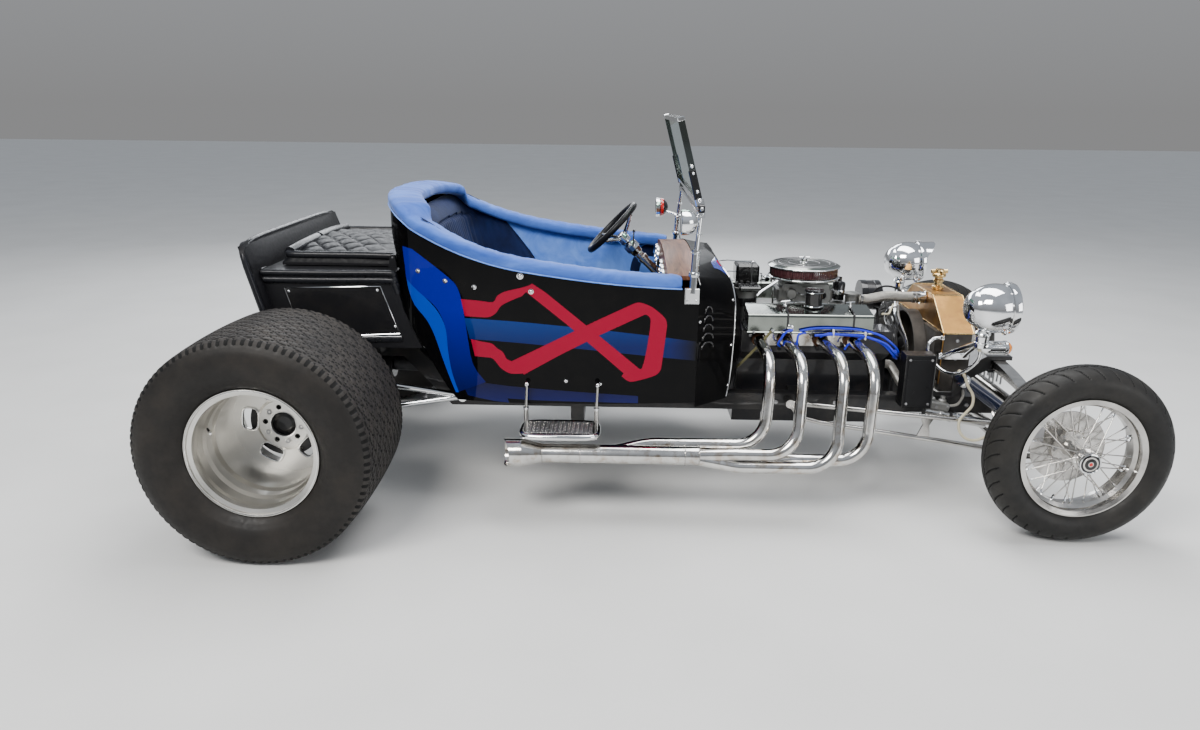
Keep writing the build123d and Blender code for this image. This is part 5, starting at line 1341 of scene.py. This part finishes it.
# ------------------------------------------------------------------ steps, pump and rail fittings
b = Build("step_trim")
for e in (-1, 1):
    path = []
    for k in range(48):
        t = 2 * math.pi * k / 48
        c, s = math.cos(t), math.sin(t)
        path.append((-370 + 129 * np.sign(c) * abs(c) ** 0.42, e * 628 + 72 * np.sign(s) * abs(s) ** 0.42, 323))
    b.tube(path, 11.6, CHROME, 10, closed=True, flat=1.0)
    b.rbox((-370, e * 628, 334.2), (226, 112, 1.0), 0.4, SATIN)
    for i in range(15):
        for j in range(8):
            a = math.radians(45 if (i + j) % 2 else -45)
            b.rbox((-370 - 105 + 15 * i, e * 628 - 52.5 + 15 * j, 335.2), (13, 4, 2.4), 1.0, CHROME_WORN,
                   ((math.cos(a), math.sin(a), 0), (-math.sin(a), math.cos(a), 0), (0, 0, 1)))
    for hx in (-493, -247):
        b.dome((hx + 3, e * 574, 470), (0, e, 0), 8.5, 8, CHROME, 16)
        b.lathe([(8.2, -5), (10.5, -4), (10.5, 4), (8.2, 5)], (hx, e * 577, 384), (0, 0, 1), CHROME, 18)
        b.lathe([(11, 0), (9, 6), (0, 8)], (hx, e * 577, 312), (0, 0, -1), CHROME, 18)
b.done("chassis", 50)

b = Build("rail_fittings")
pd = unit((168, 0, -31))
p0 = np.array((1022, -366, 311.0))
b.lathe([(17.6, 30), (18.8, 31), (18.8, 42), (17.6, 43)], p0, pd, RUBBER, 28)
b.lathe([(17.6, 60), (18.4, 61), (18.4, 66), (17.6, 67)], p0, pd, CHROME, 28)
b.lathe([(17.4, 170.5), (14, 173), (6, 174), (6, 184), (0, 185)], p0, pd, SATIN, 24)
b.rbox((1010, -358, 346), (86, 40, 30), 5, CAST_ALLOY, (pd, (0, 1, 0), np.cross(pd, (0, 1, 0))))
b.rbox((985, -352, 366), (34, 30, 22), 4, CAST_ALLOY)
b.lathe([(14, 0), (14, 10), (9, 13), (9, 24), (0, 25)], (1030, -356, 356), (0, 0, 1), CAST_ALLOY, 20)
for x in (975, 1002, 1044):
    b.hexb((x, -379, 346), (0, -1, 0), 5.5, 6, SATIN)
b.tube([(1052, -362, 344), (1082, -366, 352), (1104, -352, 378), (1110, -330, 396)], 5, BRAID, 8, fine=5)
b.tube([(1206, -366, 277), (1226, -362, 282), (1232, -345, 300), (1228, -331, 318)], 5, CHROME_WORN, 8, fine=5)
# lighter edge and screws of the black box
for x in (868, 975):
    b.tube([(x, -396, 346), (x, -396, 545)], 2.0, GLOSS_PLASTIC, 6)
b.tube([(868, -396, 545), (975, -396, 545)], 2.4, GLOSS_PLASTIC, 6)
b.rbox((921.5, -397.4, 440), (90, 2.4, 176), 1.0, PLASTIC)
for x in (882, 961):
    for z in (362, 528):
        b.hexb((x, -397, z), (0, -1, 0), 5, 5, SATIN)
# bolts on the rails and the radius rods' clevises
for e in (-1, 1):
    for x in (-900, -700, -420, -120, 160, 420, 640, 1000, 1130):
        b.hexb((x, e * 330, 339), (0, e, 0), 8, 7, SATIN)
b.done("chassis")

# spring clamps, shackle bolts and axle fittings in front
b = Build("front_end_fittings")
for e in (-1, 1):
    for y in (26, 62):
        b.tube([(1336, e * y, 338), (1336, e * y, 396), (1351, e * y, 402), (1366, e * y, 396), (1366, e * y, 338)], 4.2, SATIN, 8, fine=3)
    b.hexb((1351, e * 515, 349), (0, 0, 1), 7, 6, CHROME)
    b.lathe([(7, 0), (7.6, 1), (7.6, 16), (6, 18)], (1087, e * 362, 470), (0, e, 0), BRASS_BRIGHT, 8)
    b.lathe([(24, -8), (25.5, -6), (25.5, 6), (24, 8)], (1100, e * 360, 438), (0.825, 0, -0.566), CHROME, 32)
    b.lathe([(24, -8), (25.5, -6), (25.5, 6), (24, 8)], (1252, e * 360, 334), (0.825, 0, -0.566), CHROME, 32)
b.done("chassis")

# ------------------------------------------------------------------ stage, light and camera
floor_m = Mat("floor")
floor_m.set(color=floor_m.ramp(floor_m.noise(2.0, 2), [(0.3, (0.6, 0.6, 0.59)), (0.7, (0.64, 0.64, 0.63))]), rough=0.9)
me = bpy.data.meshes.new("floor")
me.from_pydata([(-30, -30, 0), (30, -30, 0), (30, 30, 0), (-30, 30, 0)], [], [(0, 1, 2, 3)])
me.materials.append(floor_m.m)
floor = bpy.data.objects.new("floor", me)
bpy.context.scene.collection.objects.link(floor)


def area(name, loc, target, size, power, color=(1, 1, 1)):
    d = bpy.data.lights.new(name, "AREA")
    d.shape = "RECTANGLE"
    d.size, d.size_y = size
    d.energy = power
    d.color = color
    o = bpy.data.objects.new(name, d)
    bpy.context.scene.collection.objects.link(o)
    o.location = loc
    o.rotation_euler = (Vector(target) - Vector(loc)).to_track_quat("-Z", "Y").to_euler()
    return o


area("key", (-2.6, -4.6, 5.2), (0, 0, 0.5), (3.2, 2.2), 520, (1.0, 0.98, 0.95))
area("top", (0.6, 0.4, 4.6), (0, 0, 0), (4.5, 2.4), 300)
area("fill", (4.6, -4.2, 2.0), (0.4, 0, 0.6), (3.0, 2.5), 110)
area("back", (-1.0, 5.0, 3.0), (0, 0, 0.6), (5.0, 1.6), 190, (0.93, 0.96, 1.0))

world = bpy.context.scene.world or bpy.data.worlds.new("world")
bpy.context.scene.world = world
world.use_nodes = True
wt = world.node_tree
bg = wt.nodes["Background"]
tc = wt.nodes.new("ShaderNodeTexCoord")
sep = wt.nodes.new("ShaderNodeSeparateXYZ")
wt.links.new(tc.outputs["Generated"], sep.inputs["Vector"])
rp = wt.nodes.new("ShaderNodeValToRGB")
rp.color_ramp.elements[0].position = 0.0
rp.color_ramp.elements[0].color = (0.42, 0.42, 0.425, 1)
rp.color_ramp.elements[1].position = 0.6
rp.color_ramp.elements[1].color = (0.82, 0.88, 0.97, 1)
wt.links.new(sep.outputs["Z"], rp.inputs["Fac"])
wt.links.new(rp.outputs["Color"], bg.inputs["Color"])
bg.inputs["Strength"].default_value = 0.62

cam_d = bpy.data.cameras.new("camera")
cam_d.sensor_fit = "HORIZONTAL"
cam_d.sensor_width = 36.0
cam_d.lens = 26.327
cam = bpy.data.objects.new("camera", cam_d)
bpy.context.scene.collection.objects.link(cam)
rot = Matrix((Vector(RR), -Vector(DD), -Vector(WW))).transposed()
cam.matrix_world = Matrix.Translation(Vector(CAM) * 0.001) @ rot.to_4x4()
bpy.context.scene.camera = cam
